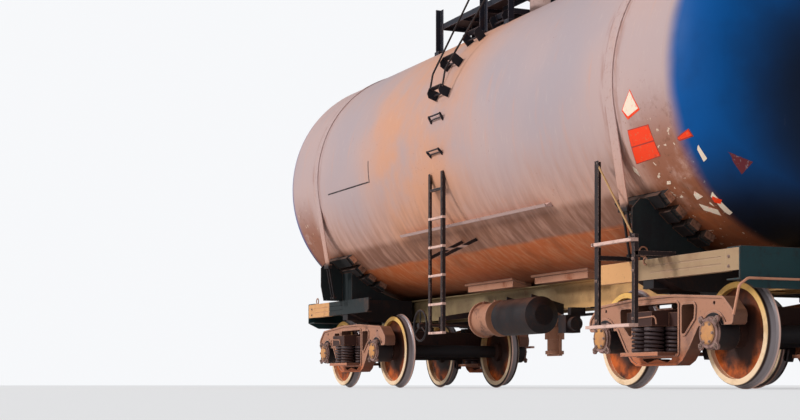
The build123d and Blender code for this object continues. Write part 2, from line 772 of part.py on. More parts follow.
def air_reservoir():
    """A long drum with dished ends and two hangers."""
    body = drum((reservoir_x[0] + 60, reservoir_x[1] - 60), drum_y, drum_z, reservoir_radius)
    for x, far in ((reservoir_x[0] + 60, reservoir_x[0]), (reservoir_x[1] - 60, reservoir_x[1])):
        cap = Solid.make_cone(reservoir_radius, reservoir_radius * 0.55, 60)
        direction = 1 if far > x else -1
        body += Plane(origin=(x, drum_y, drum_z), z_dir=(direction, 0, 0)) * cap
    for x in (reservoir_x[0] + 160, reservoir_x[1] - 200):
        body += hanger(x, reservoir_radius)
    return body


def air_distributor():
    """A stepped casting on a bracket, with a round cover facing end a."""
    y = (-520.0, -330.0)
    body = block((1010, 1180), y, (rail + 600, rail + 800))
    body += drum((1180, 1260), -425, rail + 700, 78.0)
    body += drum((930, 1010), -425, rail + 700, 62.0)
    body += block((1060, 1130), (-425, -sill_outer_half + 20), (rail + 800, sill_bottom_z))
    return body


write("brake_cylinder", brake_cylinder())
write("air_reservoir", air_reservoir())
write("air_distributor", air_distributor())

lever_z = drum_z
lever_x = cylinder_x[0] - 300.0
lever_half = 12.0
pull_rod_y = 200.0
pull_rod_end = 2280.0


def brake_rigging():
    """A cross lever on the push rod, its guide under the sill, and the two pull rods."""
    outline = [(lever_x - 45, drum_y - 60), (lever_x, drum_y - 60), (lever_x, pull_rod_y + 80),
               (lever_x - 45, pull_rod_y + 80)]
    gear = flat_plate(outline, (lever_z - lever_half, lever_z + lever_half))
    gear += rod((lever_x - 20, pull_rod_y, lever_z), (-pull_rod_end, pull_rod_y, lever_z - 40), 16.0)
    other_x = reservoir_x[1] + 420.0
    gear += rod((lever_x - 20, -pull_rod_y, lever_z), (other_x, -pull_rod_y, lever_z), 16.0)
    gear += flat_plate([(other_x - 25, -pull_rod_y - 60), (other_x + 25, -pull_rod_y - 60),
                        (other_x + 25, pull_rod_y + 60), (other_x - 25, pull_rod_y + 60)], (lever_z - lever_half, lever_z + lever_half))
    gear += rod((other_x, pull_rod_y, lever_z), (pull_rod_end, pull_rod_y, lever_z - 40), 16.0)
    for x, y in ((lever_x - 22, -60.0), (other_x, 60.0)):
        gear += block((x - 20, x + 20), (y - 8, y + 8), (lever_z + lever_half, sill_bottom_z))
        gear += block((x - 60, x + 60), (-sill_inner_half - 60, sill_inner_half + 60),
                      (sill_bottom_z - plate, sill_bottom_z))
    return gear


write("brake_rigging", brake_rigging())

# Hand brake wheel at the near side
wheel_x = -840.0
wheel_y = -1400.0
wheel_z = rail + 735.0
hand_wheel_radius = 185.0
hand_wheel_bar = 13.0
shaft_radius = 17.0


def handbrake_wheel():
    """A ring with three spokes on a shaft that two arms carry from the sill."""
    hub = rod((wheel_x, wheel_y - 30, wheel_z), (wheel_x, wheel_y + 30, wheel_z), 34.0)
    ring = Plane(origin=(wheel_x, wheel_y, wheel_z), z_dir=(0, 1, 0)) * Torus(hand_wheel_radius, hand_wheel_bar)
    wheel = hub
    for spoke in range(3):
        angle = math.radians(90 + 120 * spoke)
        reach = hand_wheel_radius - 4
        tip = (wheel_x + reach * math.cos(angle), wheel_y, wheel_z + reach * math.sin(angle))
        wheel += rod((wheel_x, wheel_y, wheel_z), tip, 8.0)
    wheel += rod((wheel_x, wheel_y, wheel_z), (wheel_x, -sill_outer_half - 20, wheel_z), shaft_radius)
    arm = [(-sill_outer_half, sill_bottom_z + 90), (-sill_outer_half, wheel_z - 30), (-sill_outer_half - 60, wheel_z - 30),
           (-sill_outer_half - 60, sill_bottom_z), (-1120, wheel_z + 60), (-1120, wheel_z - 30), (-1150, wheel_z - 30),
           (-1150, wheel_z + 110), (-sill_outer_half - 60, sill_bottom_z + 90)]
    wheel += cross_plate(arm, (wheel_x - 6, wheel_x + 6))
    return wheel + ring


write("handbrake_wheel", handbrake_wheel())

# Brake pipe with an angle cock at each end
cock_reach = 120.0


def brake_pipe():
    """The pipe along the frame, its clips and the two end cocks."""
    end = beam_x + cock_reach
    pipe = drum((-end, end), pipe_y, pipe_z, pipe_radius)
    for side in (-1, 1):
        x = sorted((side * (end - 10), side * (end + 70)))
        pipe += block(x, (pipe_y - 34, pipe_y + 34), (pipe_z - 40, pipe_z + 34))
        pipe += rod((side * (end + 40), pipe_y, pipe_z), (side * (end + 80), pipe_y, pipe_z - 110), 24.0)
        pipe += block(sorted((side * (end + 20), side * (end + 36))), (pipe_y - 12, pipe_y + 12),
                      (pipe_z + 34, pipe_z + 110))
    for x in (-2400, -1700, 1700, 2400):
        pipe += block((x - 20, x + 20), (sill_inner_half + web_foot, pipe_y), (pipe_z - 12, pipe_z + 12))
    return pipe


write("brake_pipe", brake_pipe())

# Uncoupling levers across the end beams
lever_bar_x = beam_x + 62.0
lever_bar_z = rail + 1000.0
lever_bar_radius = 12.0


def uncoupling_lever():
    """A bar in two brackets with a hanging handle and a crank over the striker."""
    x = lever_bar_x
    points = [(x, -1215.0, rail + 625.0), (x, -1125.0, rail + 940.0), (x, -1090.0, lever_bar_z),
              (x, -striker_half - 115.0, lever_bar_z), (x, -striker_half - 115.0, coupler_z + 230.0),
              (x + 60, -130.0, coupler_z + 230.0)]
    lever = bent_rod(points, lever_bar_radius)
    for y in (-1050.0, -560.0):
        lever += block((beam_x, x + 20), (y - 6, y + 6), (lever_bar_z - 26, lever_bar_z + 26))
    return lever


near_lever = uncoupling_lever()
write("uncoupling_levers", near_lever, turned(near_lever))

# Couplers
shank_half = 82.0
shank_half_height = 65.0
head_half_height = 150.0
head_back = 400.0


def coupler():
    """A cast head with one large and one small tooth on a shank that turns on the draft pin."""
    centre = coupled_length / 2
    shank = block((pin_x - 75, centre - head_back + 60), (-shank_half, shank_half),
                  (coupler_z - shank_half_height, coupler_z + shank_half_height))
    outline = [(-head_back, 82), (-340, 150), (-170, 205), (-20, 225), (95, 160), (125, 70), (70, 25), (-20, 45),
               (-70, -5), (-40, -80), (35, -110), (62, -185), (10, -235), (-150, -215), (-340, -150), (-head_back, -82)]
    head = flat_plate([(centre + x, y) for x, y in outline], (coupler_z - head_half_height, coupler_z + head_half_height))
    jaw = flat_plate([(centre + x, y) for x, y in outline[3:12]], (coupler_z - 60, coupler_z + 60))
    body = shank + head + jaw
    body -= rod((pin_x, 0, coupler_z - 200), (pin_x, 0, coupler_z + 200), pin_radius + bearing_gap)
    return body


near_coupler = coupler()
write("coupler_a", near_coupler)
write("coupler_b", turned(near_coupler))

# Bogies
frame_half_thickness = 75.0
frame_end = 1185.0
jaw_half = 166.0
jaw_roof = axle_z + 168.0
chord_mid = rail + 842.0
chord_end = rail + 800.0
spring_floor = rail + 300.0
lower_lip = rail + 190.0
spring_top = rail + 560.0
window_half = 365.0
window_top = rail + 760.0
column = 85.0
spring_radius = 95.0
spring_pitch_x = 220.0
spring_pitch_y = 165.0


def side_frame():
    """A cast frame with pedestal jaws, a spring window and two lightening holes."""
    jaw_x = half_wheelbase
    half = [(0, chord_mid), (350, chord_mid), (1090, chord_end), (frame_end - 30, chord_end - 35),
            (frame_end, chord_end - 110), (frame_end - 18, rail + 560), (jaw_x + jaw_half + 2, rail + 560),
            (jaw_x + jaw_half + 2, jaw_roof), (jaw_x - jaw_half - 2, jaw_roof), (jaw_x - jaw_half - 2, rail + 470),
            (560, rail + 262), (430, lower_lip), (0, lower_lip)]
    outline = half + [(-x, z) for x, z in reversed(half[1:-1])]
    thick = (-journal_y - frame_half_thickness, -journal_y + frame_half_thickness)
    casting = side_plate(outline, thick)
    casting -= block((-window_half, window_half), thick, (spring_floor, window_top))
    for side in (-1, 1):
        inner = window_half + column
        hole = [(side * inner, rail + 430), (side * inner, window_top - 20), (side * (inner + 60), window_top),
                (side * (inner + 170), window_top - 20), (side * (inner + 190), window_top - 110)]
        casting -= side_plate(hole, thick)
        scallop = [(side * 60, lower_lip), (side * 130, lower_lip + 45), (side * 300, lower_lip + 45),
                   (side * 400, lower_lip)]
        casting -= side_plate(scallop, thick)
    deep = (spring_pitch_y + spring_radius + 8)
    floor = block((-325, 325), (-journal_y - deep, -journal_y + deep), (spring_floor, spring_floor + 18))
    walls = block((-325, 325), (-journal_y - deep, -journal_y + deep), (spring_floor - 40, spring_floor))
    return casting + floor + walls


def at_bogie(shape, sign):
    """A bogie piece modelled about X = 0, moved to its pivot."""
    placed = Pos(pivot_x, 0, 0) * shape
    return placed if sign > 0 else turned(placed)


box_half_width = jaw_half
box_low = axle_z - 150.0
box_inner_y = journal_y - 118.0
box_outer_y = journal_y + 105.0
cover_radius = 146.0
cover_face_y = journal_y + 152.0


def axle_box(x):
    """A housing round the journal with its bolted cover at the outer side."""
    outline = [(x - box_half_width, axle_z + 40), (x - box_half_width, jaw_roof), (x + box_half_width, jaw_roof),
               (x + box_half_width, axle_z + 40), (x + 120, box_low + 20), (x + 70, box_low),
               (x - 70, box_low), (x - 120, box_low + 20)]
    body = side_plate(outline, (-box_outer_y, -box_inner_y))
    body += rod((x, -box_outer_y, axle_z), (x, -box_outer_y - 22, axle_z), cover_radius)
    body += rod((x, -box_outer_y - 22, axle_z), (x, -cover_face_y, axle_z), cover_radius - 42)
    depth = journal_y + journal_length / 2 + 12
    body -= rod((x, -box_inner_y + 1, axle_z), (x, -depth, axle_z), journal_radius + bearing_gap)
    seal = journal_y - journal_length / 2 + running_gap
    body -= rod((x, -box_inner_y + 1, axle_z), (x, -seal, axle_z), axle_radius + running_gap)
    return body


bolster_width = 215.0
bowl_radius = upper_plate_radius + 4.0
bearer_top = side_bearer_z - 10.0


def bogie_bolster():
    """The cross beam on the springs, with the pivot bowl, side bearers and friction wedges."""
    reach = journal_y + spring_pitch_y + spring_radius
    half = [(0, centre_plate_z - 30), (340, centre_plate_z - 40), (700, rail + 752), (960, rail + 728), (reach, rail + 700),
            (reach, spring_top), (740, spring_top), (560, rail + 500), (0, rail + 470)]
    outline = half + [(-y, z) for y, z in reversed(half[1:-1])]
    beam = cross_plate(outline, (-bolster_width, bolster_width))
    bowl = rod((0, 0, centre_plate_z - 60), (0, 0, centre_plate_z + 24), bowl_radius + 28)
    bowl -= rod((0, 0, centre_plate_z), (0, 0, centre_plate_z + 30), bowl_radius)
    beam += bowl
    for side in (-1, 1):
        y = sorted((side * (side_bearer_y - 90), side * (side_bearer_y + 90)))
        beam += block((-80, 80), y, (rail + 700, bearer_top))
        for end in (-1, 1):
            x = sorted((end * (bolster_width - 20), end * window_half))
            wide = sorted((side * (journal_y - 70), side * (journal_y + 70)))
            beam += block(x, wide, (spring_top, rail + 690))
    return beam


def springs():
    """Seven coil springs a side, each drawn as a plain turned column."""
    places = [(-spring_pitch_x, 0), (0, 0), (spring_pitch_x, 0)]
    places += [(x, y) for x in (-spring_pitch_x / 2, spring_pitch_x / 2) for y in (-spring_pitch_y, spring_pitch_y)]
    pieces = []
    for side in (-1, 1):
        for x, y in places:
            low = (x, side * journal_y + y, spring_floor + 18)
            high = (x, side * journal_y + y, spring_top)
            pieces.append(rod(low, high, spring_radius))
    return pieces


shoe_gap = 12.0
shoe_thickness = 58.0
shoe_half_angle = 19.0


def brake_gear():
    """A brake beam at each wheelset with its two shoes and hangers."""
    pieces = []
    for side in (-1, 1):
        centre = side * half_wheelbase
        near = side * (half_wheelbase - wheel_radius - shoe_gap - shoe_thickness / 2)
        bar_x = sorted((near - side * 45, near - side * 5))
        beam = block(bar_x, (-790, 790), (rail + 372, rail + 442))
        strut = [(near - side * 20, -60), (near - side * 105, -22), (near - side * 105, 22), (near - side * 20, 60)]
        beam += flat_plate(strut, (rail + 385, rail + 429))
        for hand in (-1, 1):
            tread = hand * (back_to_back / 2 + rim_width - 45)
            y = (tread - 38, tread + 38)
            outer = rod((centre, y[0], axle_z), (centre, y[1], axle_z), wheel_radius + shoe_gap + shoe_thickness)
            inner = rod((centre, y[0], axle_z), (centre, y[1], axle_z), wheel_radius + shoe_gap)
            reach = 700 * math.tan(math.radians(shoe_half_angle))
            wedge = side_plate([(centre, axle_z - 60), (centre - side * 700, axle_z - 60 - reach),
                                (centre - side * 700, axle_z - 60 + reach)], y)
            beam += (outer - inner) & wedge
            arm_x = sorted((near - side * 12, near + side * 20))
            beam += block(arm_x, sorted((hand * 780, hand * 805)), (rail + 372, rail + 700))
            beam += block(arm_x, sorted((hand * 780, hand * (journal_y - frame_half_thickness))),
                          (rail + 668, rail + 700))
        pieces.append(beam)
    return pieces


for name, sign in (("a", 1), ("b", -1)):
    near_frame = side_frame()
    write("side_frames_" + name, at_bogie(near_frame, sign), at_bogie(far_side(near_frame), sign))
    boxes = [axle_box(x) for x in (-half_wheelbase, half_wheelbase)]
    boxes += [far_side(box) for box in boxes]
    write("axle_boxes_" + name, *[at_bogie(box, sign) for box in boxes])
    write("bogie_bolster_" + name, at_bogie(bogie_bolster(), sign))
    write("springs_" + name, *[at_bogie(spring, sign) for spring in springs()])
    write("brake_beams_" + name, *[at_bogie(beam, sign) for beam in brake_gear()])


def wheelset():
    """An axle with its two wheels, turned about the Y axis."""
    back = back_to_back / 2
    face = back + rim_width
    rim_inner = wheel_radius - rim_thickness
    end = journal_y + journal_length / 2
    shoulder = journal_y - journal_length / 2
    half = [(axle_radius, 0), (axle_radius, back - 30), (hub_radius, back - 10), (hub_radius, back + 45),
            (rim_inner, back + 62), (rim_inner, back), (flange_radius - 12, back), (flange_radius, back + 16),
            (flange_radius - 10, back + 30), (wheel_radius + 1, back + 42), (wheel_radius - 4, face - 8),
            (wheel_radius - 12, face), (rim_inner, face), (rim_inner, back + 86), (hub_radius, back + 78),
            (hub_radius, back + 165), (axle_radius, back + 165), (axle_radius, shoulder - 8),
            (journal_radius, shoulder), (journal_radius, end), (0, end)]
    outline = half + [(radius, -y) for radius, y in reversed(half[1:])]
    return Pos(0, 0, axle_z) * revolve(make_face(Polyline(*outline, close=True)), Axis.Y)


number = 1
for centre in (pivot_x, -pivot_x):
    for shift in (half_wheelbase, -half_wheelbase):
        write("wheelset_" + str(number), Pos(centre + shift, 0, 0) * wheelset())
        number += 1
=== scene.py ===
"""Finishes, castings and fittings of a four-axle railway tank car, laid out as a Blender add-on.

Metres, in the frame's own axes: +X along the car to end a, +Y across it, +Z up from the floor.
"""
import json
import math

import bmesh
import bpy
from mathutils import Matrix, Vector
from mathutils.bvhtree import BVHTree

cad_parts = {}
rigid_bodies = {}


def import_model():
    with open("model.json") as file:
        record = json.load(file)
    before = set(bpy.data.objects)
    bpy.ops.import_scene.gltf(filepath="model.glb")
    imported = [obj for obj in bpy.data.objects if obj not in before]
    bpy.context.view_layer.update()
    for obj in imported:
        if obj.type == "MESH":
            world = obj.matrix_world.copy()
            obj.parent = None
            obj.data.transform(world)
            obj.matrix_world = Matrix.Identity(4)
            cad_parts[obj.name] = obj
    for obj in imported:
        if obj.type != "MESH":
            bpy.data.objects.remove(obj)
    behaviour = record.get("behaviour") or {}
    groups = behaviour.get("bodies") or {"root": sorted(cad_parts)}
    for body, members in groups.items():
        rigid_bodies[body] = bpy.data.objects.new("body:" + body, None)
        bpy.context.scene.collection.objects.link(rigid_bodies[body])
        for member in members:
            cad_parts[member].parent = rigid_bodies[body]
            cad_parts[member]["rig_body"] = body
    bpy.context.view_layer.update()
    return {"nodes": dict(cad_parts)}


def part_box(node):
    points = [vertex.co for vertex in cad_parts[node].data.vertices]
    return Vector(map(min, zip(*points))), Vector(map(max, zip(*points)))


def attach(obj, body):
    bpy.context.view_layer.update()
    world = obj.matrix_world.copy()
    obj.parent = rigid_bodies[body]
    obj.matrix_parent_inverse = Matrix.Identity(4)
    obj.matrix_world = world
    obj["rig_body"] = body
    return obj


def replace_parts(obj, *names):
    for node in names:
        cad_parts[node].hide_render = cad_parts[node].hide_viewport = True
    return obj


bl_info = {
    "name": "Railway tank car",
    "version": (1, 0, 0),
    "blender": (4, 5, 0),
    "location": "View3D > Sidebar > Tank car",
    "description": "Paint, rust, bolts, springs and fittings of a four-axle tank car",
    "category": "Object",
}

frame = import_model()


def corner(node, low_or_high, axis):
    """One coordinate of a node's box: 0 for its low corner, 1 for its high corner."""
    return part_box(node)[low_or_high][axis]


def middle(node, axis):
    """The middle of a node's box along one axis."""
    return (corner(node, 0, axis) + corner(node, 1, axis)) / 2


RAIL = 0.028  # the rail's top above the floor, on which the wheels' flanges stand
BEAM_DEPTH = 0.210
RUNG_PITCH = 0.335

# Places read from the frame, and what follows from them
BARREL_END = corner("tank_barrel", 1, 0)
TANK_RADIUS = corner("tank_barrel", 1, 1)
TANK_AXIS = corner("tank_head_a", 1, 2) - TANK_RADIUS
PIVOT_X = middle("tie_band_a", 0)
AXLE_HEIGHT = middle("wheelset_1", 2)
WHEEL_RADIUS = corner("wheelset_1", 1, 2) - AXLE_HEIGHT - RAIL
SILL_TOP = corner("centre_sill", 1, 2)
BEAM_X = corner("side_sills", 1, 0) + BEAM_DEPTH
HATCH_RADIUS = corner("hatch_lid", 1, 0)
DECK_TOP = corner("platform_deck", 1, 2)
SIDE_Y = corner("side_sills", 1, 1)
BELLY_LINE = RAIL + 1.61
# Lower and upper heights of the side ladders' rungs and the end steps' treads
LADDER_RUNGS = [(RAIL + 0.605 + RUNG_PITCH * step, RAIL + 0.631 + RUNG_PITCH * step) for step in range(5)]
END_TREADS = ((RAIL + 0.545, RAIL + 0.575), (RAIL + 1.33, RAIL + 1.36))
AXLES = [middle("wheelset_%d" % number, 0) for number in (1, 2, 3, 4)]
JOURNALS = [(x, side) for x in AXLES for side in (-1, 1)]

ENDS = (("a", 1), ("b", -1))  # each end's letter and its way along X
CORNERS = [(way, side) for way in (-1, 1) for side in (-1, 1)]
EAR_TURNS = (45, 135, 225, 315)  # where an axle box's flange has its bolted ears, in degrees
NEAR_WHITE = (0.93, 0.94, 0.96)


def linear(red, green, blue):
    """Paint-chart numbers, 0 to 255, as the linear colour that Blender keeps."""
    def channel(value):
        share = value / 255
        return share / 12.92 if share <= 0.04045 else ((share + 0.055) / 1.055) ** 2.4
    return (channel(red), channel(green), channel(blue))


def colour(label, red, green, blue):
    """A colour property with its default from a paint chart."""
    return bpy.props.FloatVectorProperty(
        name=label, description=label + ", as it looks in plain light", subtype="COLOR",
        size=3, min=0.0, max=1.0, default=linear(red, green, blue))


def length(label, hint, metres):
    """A length property in metres."""
    return bpy.props.FloatProperty(name=label, description=hint, default=metres, min=0.0,
                                   subtype="DISTANCE", unit="LENGTH")


class TankCarColours(bpy.types.PropertyGroup):
    """Paints, rusts and dirts of the car"""

    tank_grey: colour("Tank grey", 196, 164, 156)
    tank_warm: colour("Tank grey warmed by rust, also painted warm light", 212, 150, 114)
    tank_cool: colour("Tank grey where it is cleanest", 172, 156, 160)
    belly_stain: colour("Oil and rust stain on the belly", 196, 100, 48)
    belly_pale: colour("Pale streaks in the belly stain", 204, 128, 84)
    grime: colour("Brown grime", 122, 76, 54)
    rust: colour("Rust", 140, 72, 36)
    dark_rust: colour("Old dark rust, also painted shade", 58, 34, 26)
    saddle_rust: colour("Rusty grime over the saddles", 146, 82, 50)
    head_blue: colour("Blue of the tank heads", 0, 82, 152)
    head_navy: colour("Navy of the tank heads, dark tone and painted shade", 14, 20, 34)
    soot: colour("Soot and tar, also painted shade", 22, 22, 26)
    frame_green: colour("Dark green-black frame paint", 26, 34, 36)
    beam_teal: colour("Teal end beam paint", 24, 56, 60)
    sill_beige: colour("Dusty beige side sill", 166, 136, 104)
    sill_warm: colour("Warm beige side sill", 214, 158, 104)
    sill_green: colour("Pale green centre sill", 142, 122, 88)
    sill_tan: colour("Warm tan centre sill", 206, 160, 104)
    ladder_brown: colour("Dark brown ladder paint", 44, 32, 32)
    step_pink: colour("Worn pale step edges", 220, 182, 168)
    step_navy: colour("Near-black step paint", 24, 26, 36)
    platform_blue: colour("Blue-black platform paint", 30, 32, 44)
    casting: colour("Dusty pinkish casting", 176, 124, 98)
    casting_dark: colour("Shaded oily casting", 64, 38, 32)
    cover_tan: colour("Tan axle-box cover", 206, 146, 84)
    box_pink: colour("Pinkish grey axle-box flange", 150, 116, 108)
    spring_grey: colour("Oily spring steel", 66, 52, 54)
    gear_black: colour("Black underframe gear", 30, 25, 28)
    bracket_pink: colour("Pinkish anchor bracket", 204, 142, 112)
    timber: colour("Weathered timber", 74, 58, 50)
    wheel_rim: colour("Wheel rim, pale steel in painted sunlight", 255, 222, 184)
    rim_amber: colour("Wheel rim in painted amber light", 255, 202, 112)
    wheel_rust: colour("Orange wheel plate, also painted low light", 206, 98, 34)
    wheel_dark: colour("Oily wheel plate, also painted shadow", 52, 30, 24)
    tread_steel: colour("Polished tread", 150, 140, 142)
    label_orange: colour("Orange-red label", 250, 62, 10)
    label_white: colour("Off-white label", 244, 224, 200)
    label_red: colour("Faded red label", 176, 54, 42)
    torn_red: colour("Torn red label in old tar", 112, 38, 46)
    bare_steel: colour("Bare steel and bolts", 132, 108, 98)


class TankCarSizes(bpy.types.PropertyGroup):
    """Sizes of the fittings"""

    bolt_width: length("Bolt width", "Across the flats of a large hexagon head", 0.036)
    bolt_height: length("Bolt height", "Height of a large hexagon head", 0.018)
    seam_width: length("Seam width", "Width of a weld bead on the tank", 0.011)
    spring_wire: length("Spring wire", "Diameter of the bogie springs' wire", 0.030)
    inner_wire: length("Inner spring wire", "Diameter of the inner springs' wire", 0.019)
    lozenge: length("Tread lozenge", "Length of one raised lozenge on the deck", 0.034)
    label_lift: length("Label lift", "How far a label stands on the paint", 0.0015)


def colours():
    """The scene's colour properties."""
    return bpy.context.scene.tank_car_colours


def sizes():
    """The scene's size properties."""
    return bpy.context.scene.tank_car_sizes


class Number:
    """A number in a node tree: arithmetic on it adds Math nodes to its tree."""

    def __init__(self, tree, socket):
        self.tree = tree
        self.socket = socket

    def maths(self, operation, first, second):
        return self.tree.number("ShaderNodeMath", {"operation": operation}, {0: first, 1: second})

    def __add__(self, other):
        return self.maths("ADD", self, other)

    __radd__ = __add__

    def __sub__(self, other):
        return self.maths("SUBTRACT", self, other)

    def __rsub__(self, other):
        return self.maths("SUBTRACT", other, self)

    def __mul__(self, other):
        return self.maths("MULTIPLY", self, other)

    def least(self, other):
        return self.maths("MINIMUM", self, other)

    def most(self, other):
        return self.maths("MAXIMUM", self, other)

    def size(self):
        return self.maths("ABSOLUTE", self, 0.0)

    def rise(self, low, high):
        """0 below low, 1 above high, smooth between."""
        return self.tree.number("ShaderNodeMapRange", {"interpolation_type": "SMOOTHSTEP"},
                                {"Value": self, "From Min": low, "From Max": high})

    def fall(self, low, high):
        """1 below low, 0 above high, smooth between."""
        return 1 - self.rise(low, high)

    def near(self, centre, half, soft):
        """1 within half of a centre value, falling to 0 over soft."""
        return (self - centre).size().fall(half, half + soft)


class Tree:
    """A node tree in the making."""

    def __init__(self, tree):
        self.tree = tree
        self.tree.nodes.clear()

    def feed(self, value, socket):
        """Link a value to a socket, or set it there. A word sets one of the scene's colours."""
        if isinstance(value, Number):
            value = value.socket
        if isinstance(value, bpy.types.NodeSocket):
            self.tree.links.new(value, socket)
        elif socket.type == "RGBA":
            value = getattr(colours(), value) if isinstance(value, str) else value
            socket.default_value = (*value[:3], 1.0)
        else:
            socket.default_value = value

    def node(self, kind, settings=None, inputs=None):
        """Add a node: its settings first, then what feeds its sockets."""
        node = self.tree.nodes.new(kind)
        for key, value in (settings or {}).items():
            setattr(node, key, value)
        for key, value in (inputs or {}).items():
            for item in value if isinstance(value, list) else [value]:
                self.feed(item, node.inputs[key])
        return node

    def out(self, kind, settings=None, inputs=None, output=0):
        """A node's output socket."""
        return self.node(kind, settings, inputs).outputs[output]

    def number(self, kind, settings=None, inputs=None, output=0):
        """A node's output as a Number."""
        return Number(self, self.out(kind, settings, inputs, output))


FINISHES = {}


class Finish(Tree):
    """A material in the making, with its pattern on Object coordinates."""

    def __init__(self, name):
        self.material = bpy.data.materials.new(name)
        FINISHES[name] = self.material
        self.material.use_nodes = True
        super().__init__(self.material.node_tree)
        places = self.node("ShaderNodeTexCoord")
        self.place = places.outputs["Object"]
        self.x, self.y, self.z = self.parts(self.place)
        self.ahead, self.side, self.up = self.parts(places.outputs["Normal"])
        self.base = None

    def parts(self, vector):
        """The three numbers of a vector."""
        outputs = self.node("ShaderNodeSeparateXYZ", {}, {0: vector}).outputs
        return [Number(self, output) for output in outputs]

    def noise(self, scale, detail=3.0, roughness=0.55, stretch=(1, 1, 1)):
        """Soft noise from 0 to 1."""
        spot = self.out("ShaderNodeVectorMath", {"operation": "MULTIPLY"}, {0: self.place, 1: stretch})
        return self.number("ShaderNodeTexNoise", {"noise_dimensions": "3D"},
                           {"Vector": spot, "Scale": scale, "Detail": detail, "Roughness": roughness})

    def grain(self, broad, fine):
        """Clouds and fine grit, which most of the iron has."""
        return self.noise(broad, 5.0, 0.6), self.noise(fine, 4.0, 0.65)

    def mix(self, factor, first, second):
        """A colour between two, by a factor."""
        return self.out("ShaderNodeMix", {"data_type": "RGBA"}, {0: factor, 6: first, 7: second}, 2)

    def coat(self, factor, colour):
        """Lay a colour over the base, by a factor."""
        self.base = self.mix(factor, self.base, colour)

    def rounded(self, radius):
        """The normal with hard edges rounded off."""
        return self.out("ShaderNodeBevel", {"samples": 4}, {"Radius": radius})

    def bump(self, height, strength, distance, radius=0.0):
        """A bumped normal; a radius rounds off hard edges too."""
        inputs = {"Height": height, "Strength": strength, "Distance": distance}
        if radius:
            inputs["Normal"] = self.rounded(radius)
        return self.out("ShaderNodeBump", {}, inputs)

    def edges(self, radius):
        """1 along hard edges, where paint wears, and 0 on flat faces."""
        flat = self.out("ShaderNodeNewGeometry", output=1)
        turn = self.number("ShaderNodeVectorMath", {"operation": "DOT_PRODUCT"},
                           {0: self.rounded(radius), 1: flat}, 1)
        return (1 - turn).rise(0.004, 0.09)

    def done(self, roughness, normal=None, metallic=0.0, shine=0.3):
        """Join the base and the rest in the surface shader."""
        inputs = {"Base Color": self.base, "Roughness": roughness, "Metallic": metallic,
                  "Specular IOR Level": shine}
        if normal is not None:
            inputs["Normal"] = normal
        shader = self.out("ShaderNodeBsdfPrincipled", {}, inputs)
        self.node("ShaderNodeOutputMaterial", {}, {"Surface": shader})


def tank_angle(finish):
    """Degrees above the tank's widest line, from the axis, the same on both sides."""
    radians = finish.number("ShaderNodeMath", {"operation": "ARCTAN2"},
                            {0: finish.z - TANK_AXIS, 1: finish.y.size()})
    return radians * (180 / math.pi)


def runs_down(finish, scale):
    """Noise drawn out around the tank's barrel, like water streaks."""
    angle = tank_angle(finish)
    spot = finish.out("ShaderNodeCombineXYZ", {}, {0: finish.x, 1: angle * 0.004, 2: finish.side * 0.5})
    return finish.number("ShaderNodeTexNoise", {"noise_dimensions": "3D"},
                         {"Vector": spot, "Scale": scale, "Detail": 4.0, "Roughness": 0.6})


def grey(finish, angle):
    """Lay the barrel's grey paint: cool and warm clouds, and streaks that run down it."""
    broad = finish.noise(0.42, 2.0)
    cloud = finish.noise(1.7, 4.0)
    streak = runs_down(finish, 9.0)
    fine = runs_down(finish, 34.0)
    finish.base = finish.mix(broad.rise(0.30, 0.66) * 0.8, "tank_cool", "tank_grey")
    finish.coat(finish.x.near(-0.7, 0.6, 1.5) * cloud.rise(0.1, 0.7) * 0.9, "tank_warm")
    finish.coat(streak.rise(0.54, 0.78) * 0.3, "tank_warm")
    finish.coat(fine.rise(0.58, 0.78) * 0.14, "label_white")
    low = angle.fall(-46, -8)
    # painted warm light reflected from below, over the lower half of the barrel
    finish.coat(low * 0.6, "tank_warm")
    finish.coat(low * streak.rise(0.36, 0.68) * 0.4, "grime")
    finish.coat(low * fine.rise(0.5, 0.72) * 0.25, "belly_stain")
    # darker brown below the drip rail line
    finish.coat(angle.fall(-40, -36) * (0.4 + streak.rise(0.3, 0.6) * 0.4), "grime")


def soil(finish, where):
    """Lay rusty grime over the saddles, with dark pits and flakes of paint and paper left in it."""
    cloud = finish.noise(1.9, 4.0)
    grit = finish.noise(8.0, 5.0, 0.7)
    dirt = where * (cloud * 0.6 + grit * 0.4).rise(0.32, 0.50)
    finish.coat(dirt * 0.85, "saddle_rust")
    finish.coat(dirt * grit.rise(0.55, 0.68) * 0.7, "grime")
    pits = finish.noise(17.0, 5.0, 0.75).rise(0.62, 0.70)
    finish.coat(where * pits * 0.8, "dark_rust")
    flakes = finish.noise(13.0, 3.0, 0.6, (1.0, 1.3, 0.8)).rise(0.66, 0.69)
    finish.coat(where * flakes * 0.75, "label_white")


def spray(finish, angle, cloud):
    """Spray the heads' blue over the grey with a soft edge, then darken it to navy with painted shade
    towards the head's outer end and over its lower part.
    """
    along = finish.x.size()
    level = (finish.z - TANK_AXIS) * (62 / TANK_RADIUS)
    edge = along + (finish.noise(1.1, 3.0, 0.6) - 0.5) * 0.10 - angle.least(0.0) * 0.0016
    blue = finish.mix(cloud.rise(0.42, 0.7) * 0.25, "head_blue", "head_navy")
    # painted shade: the blue turns navy towards the head's outer end and over its lower part
    tar = (along - level * 0.0030).rise(BARREL_END + 0.48, BARREL_END + 0.76)
    low = (level + cloud * 16).fall(-44, -14)
    blue = finish.mix(tar.most(low) * 0.94, blue, "head_navy")
    # painted shade: near-black over the bottom of the head
    blue = finish.mix((level * -1 + cloud * 26).rise(52, 74), blue, "soot")
    scuff = finish.noise(2.6, 6.0, 0.75, (0.4, 1.6, 0.5)).rise(0.66, 0.72)
    blue = finish.mix(scuff * 0.22, blue, "tank_cool")
    finish.coat(edge.rise(BARREL_END + 0.01, BARREL_END + 0.21), blue)


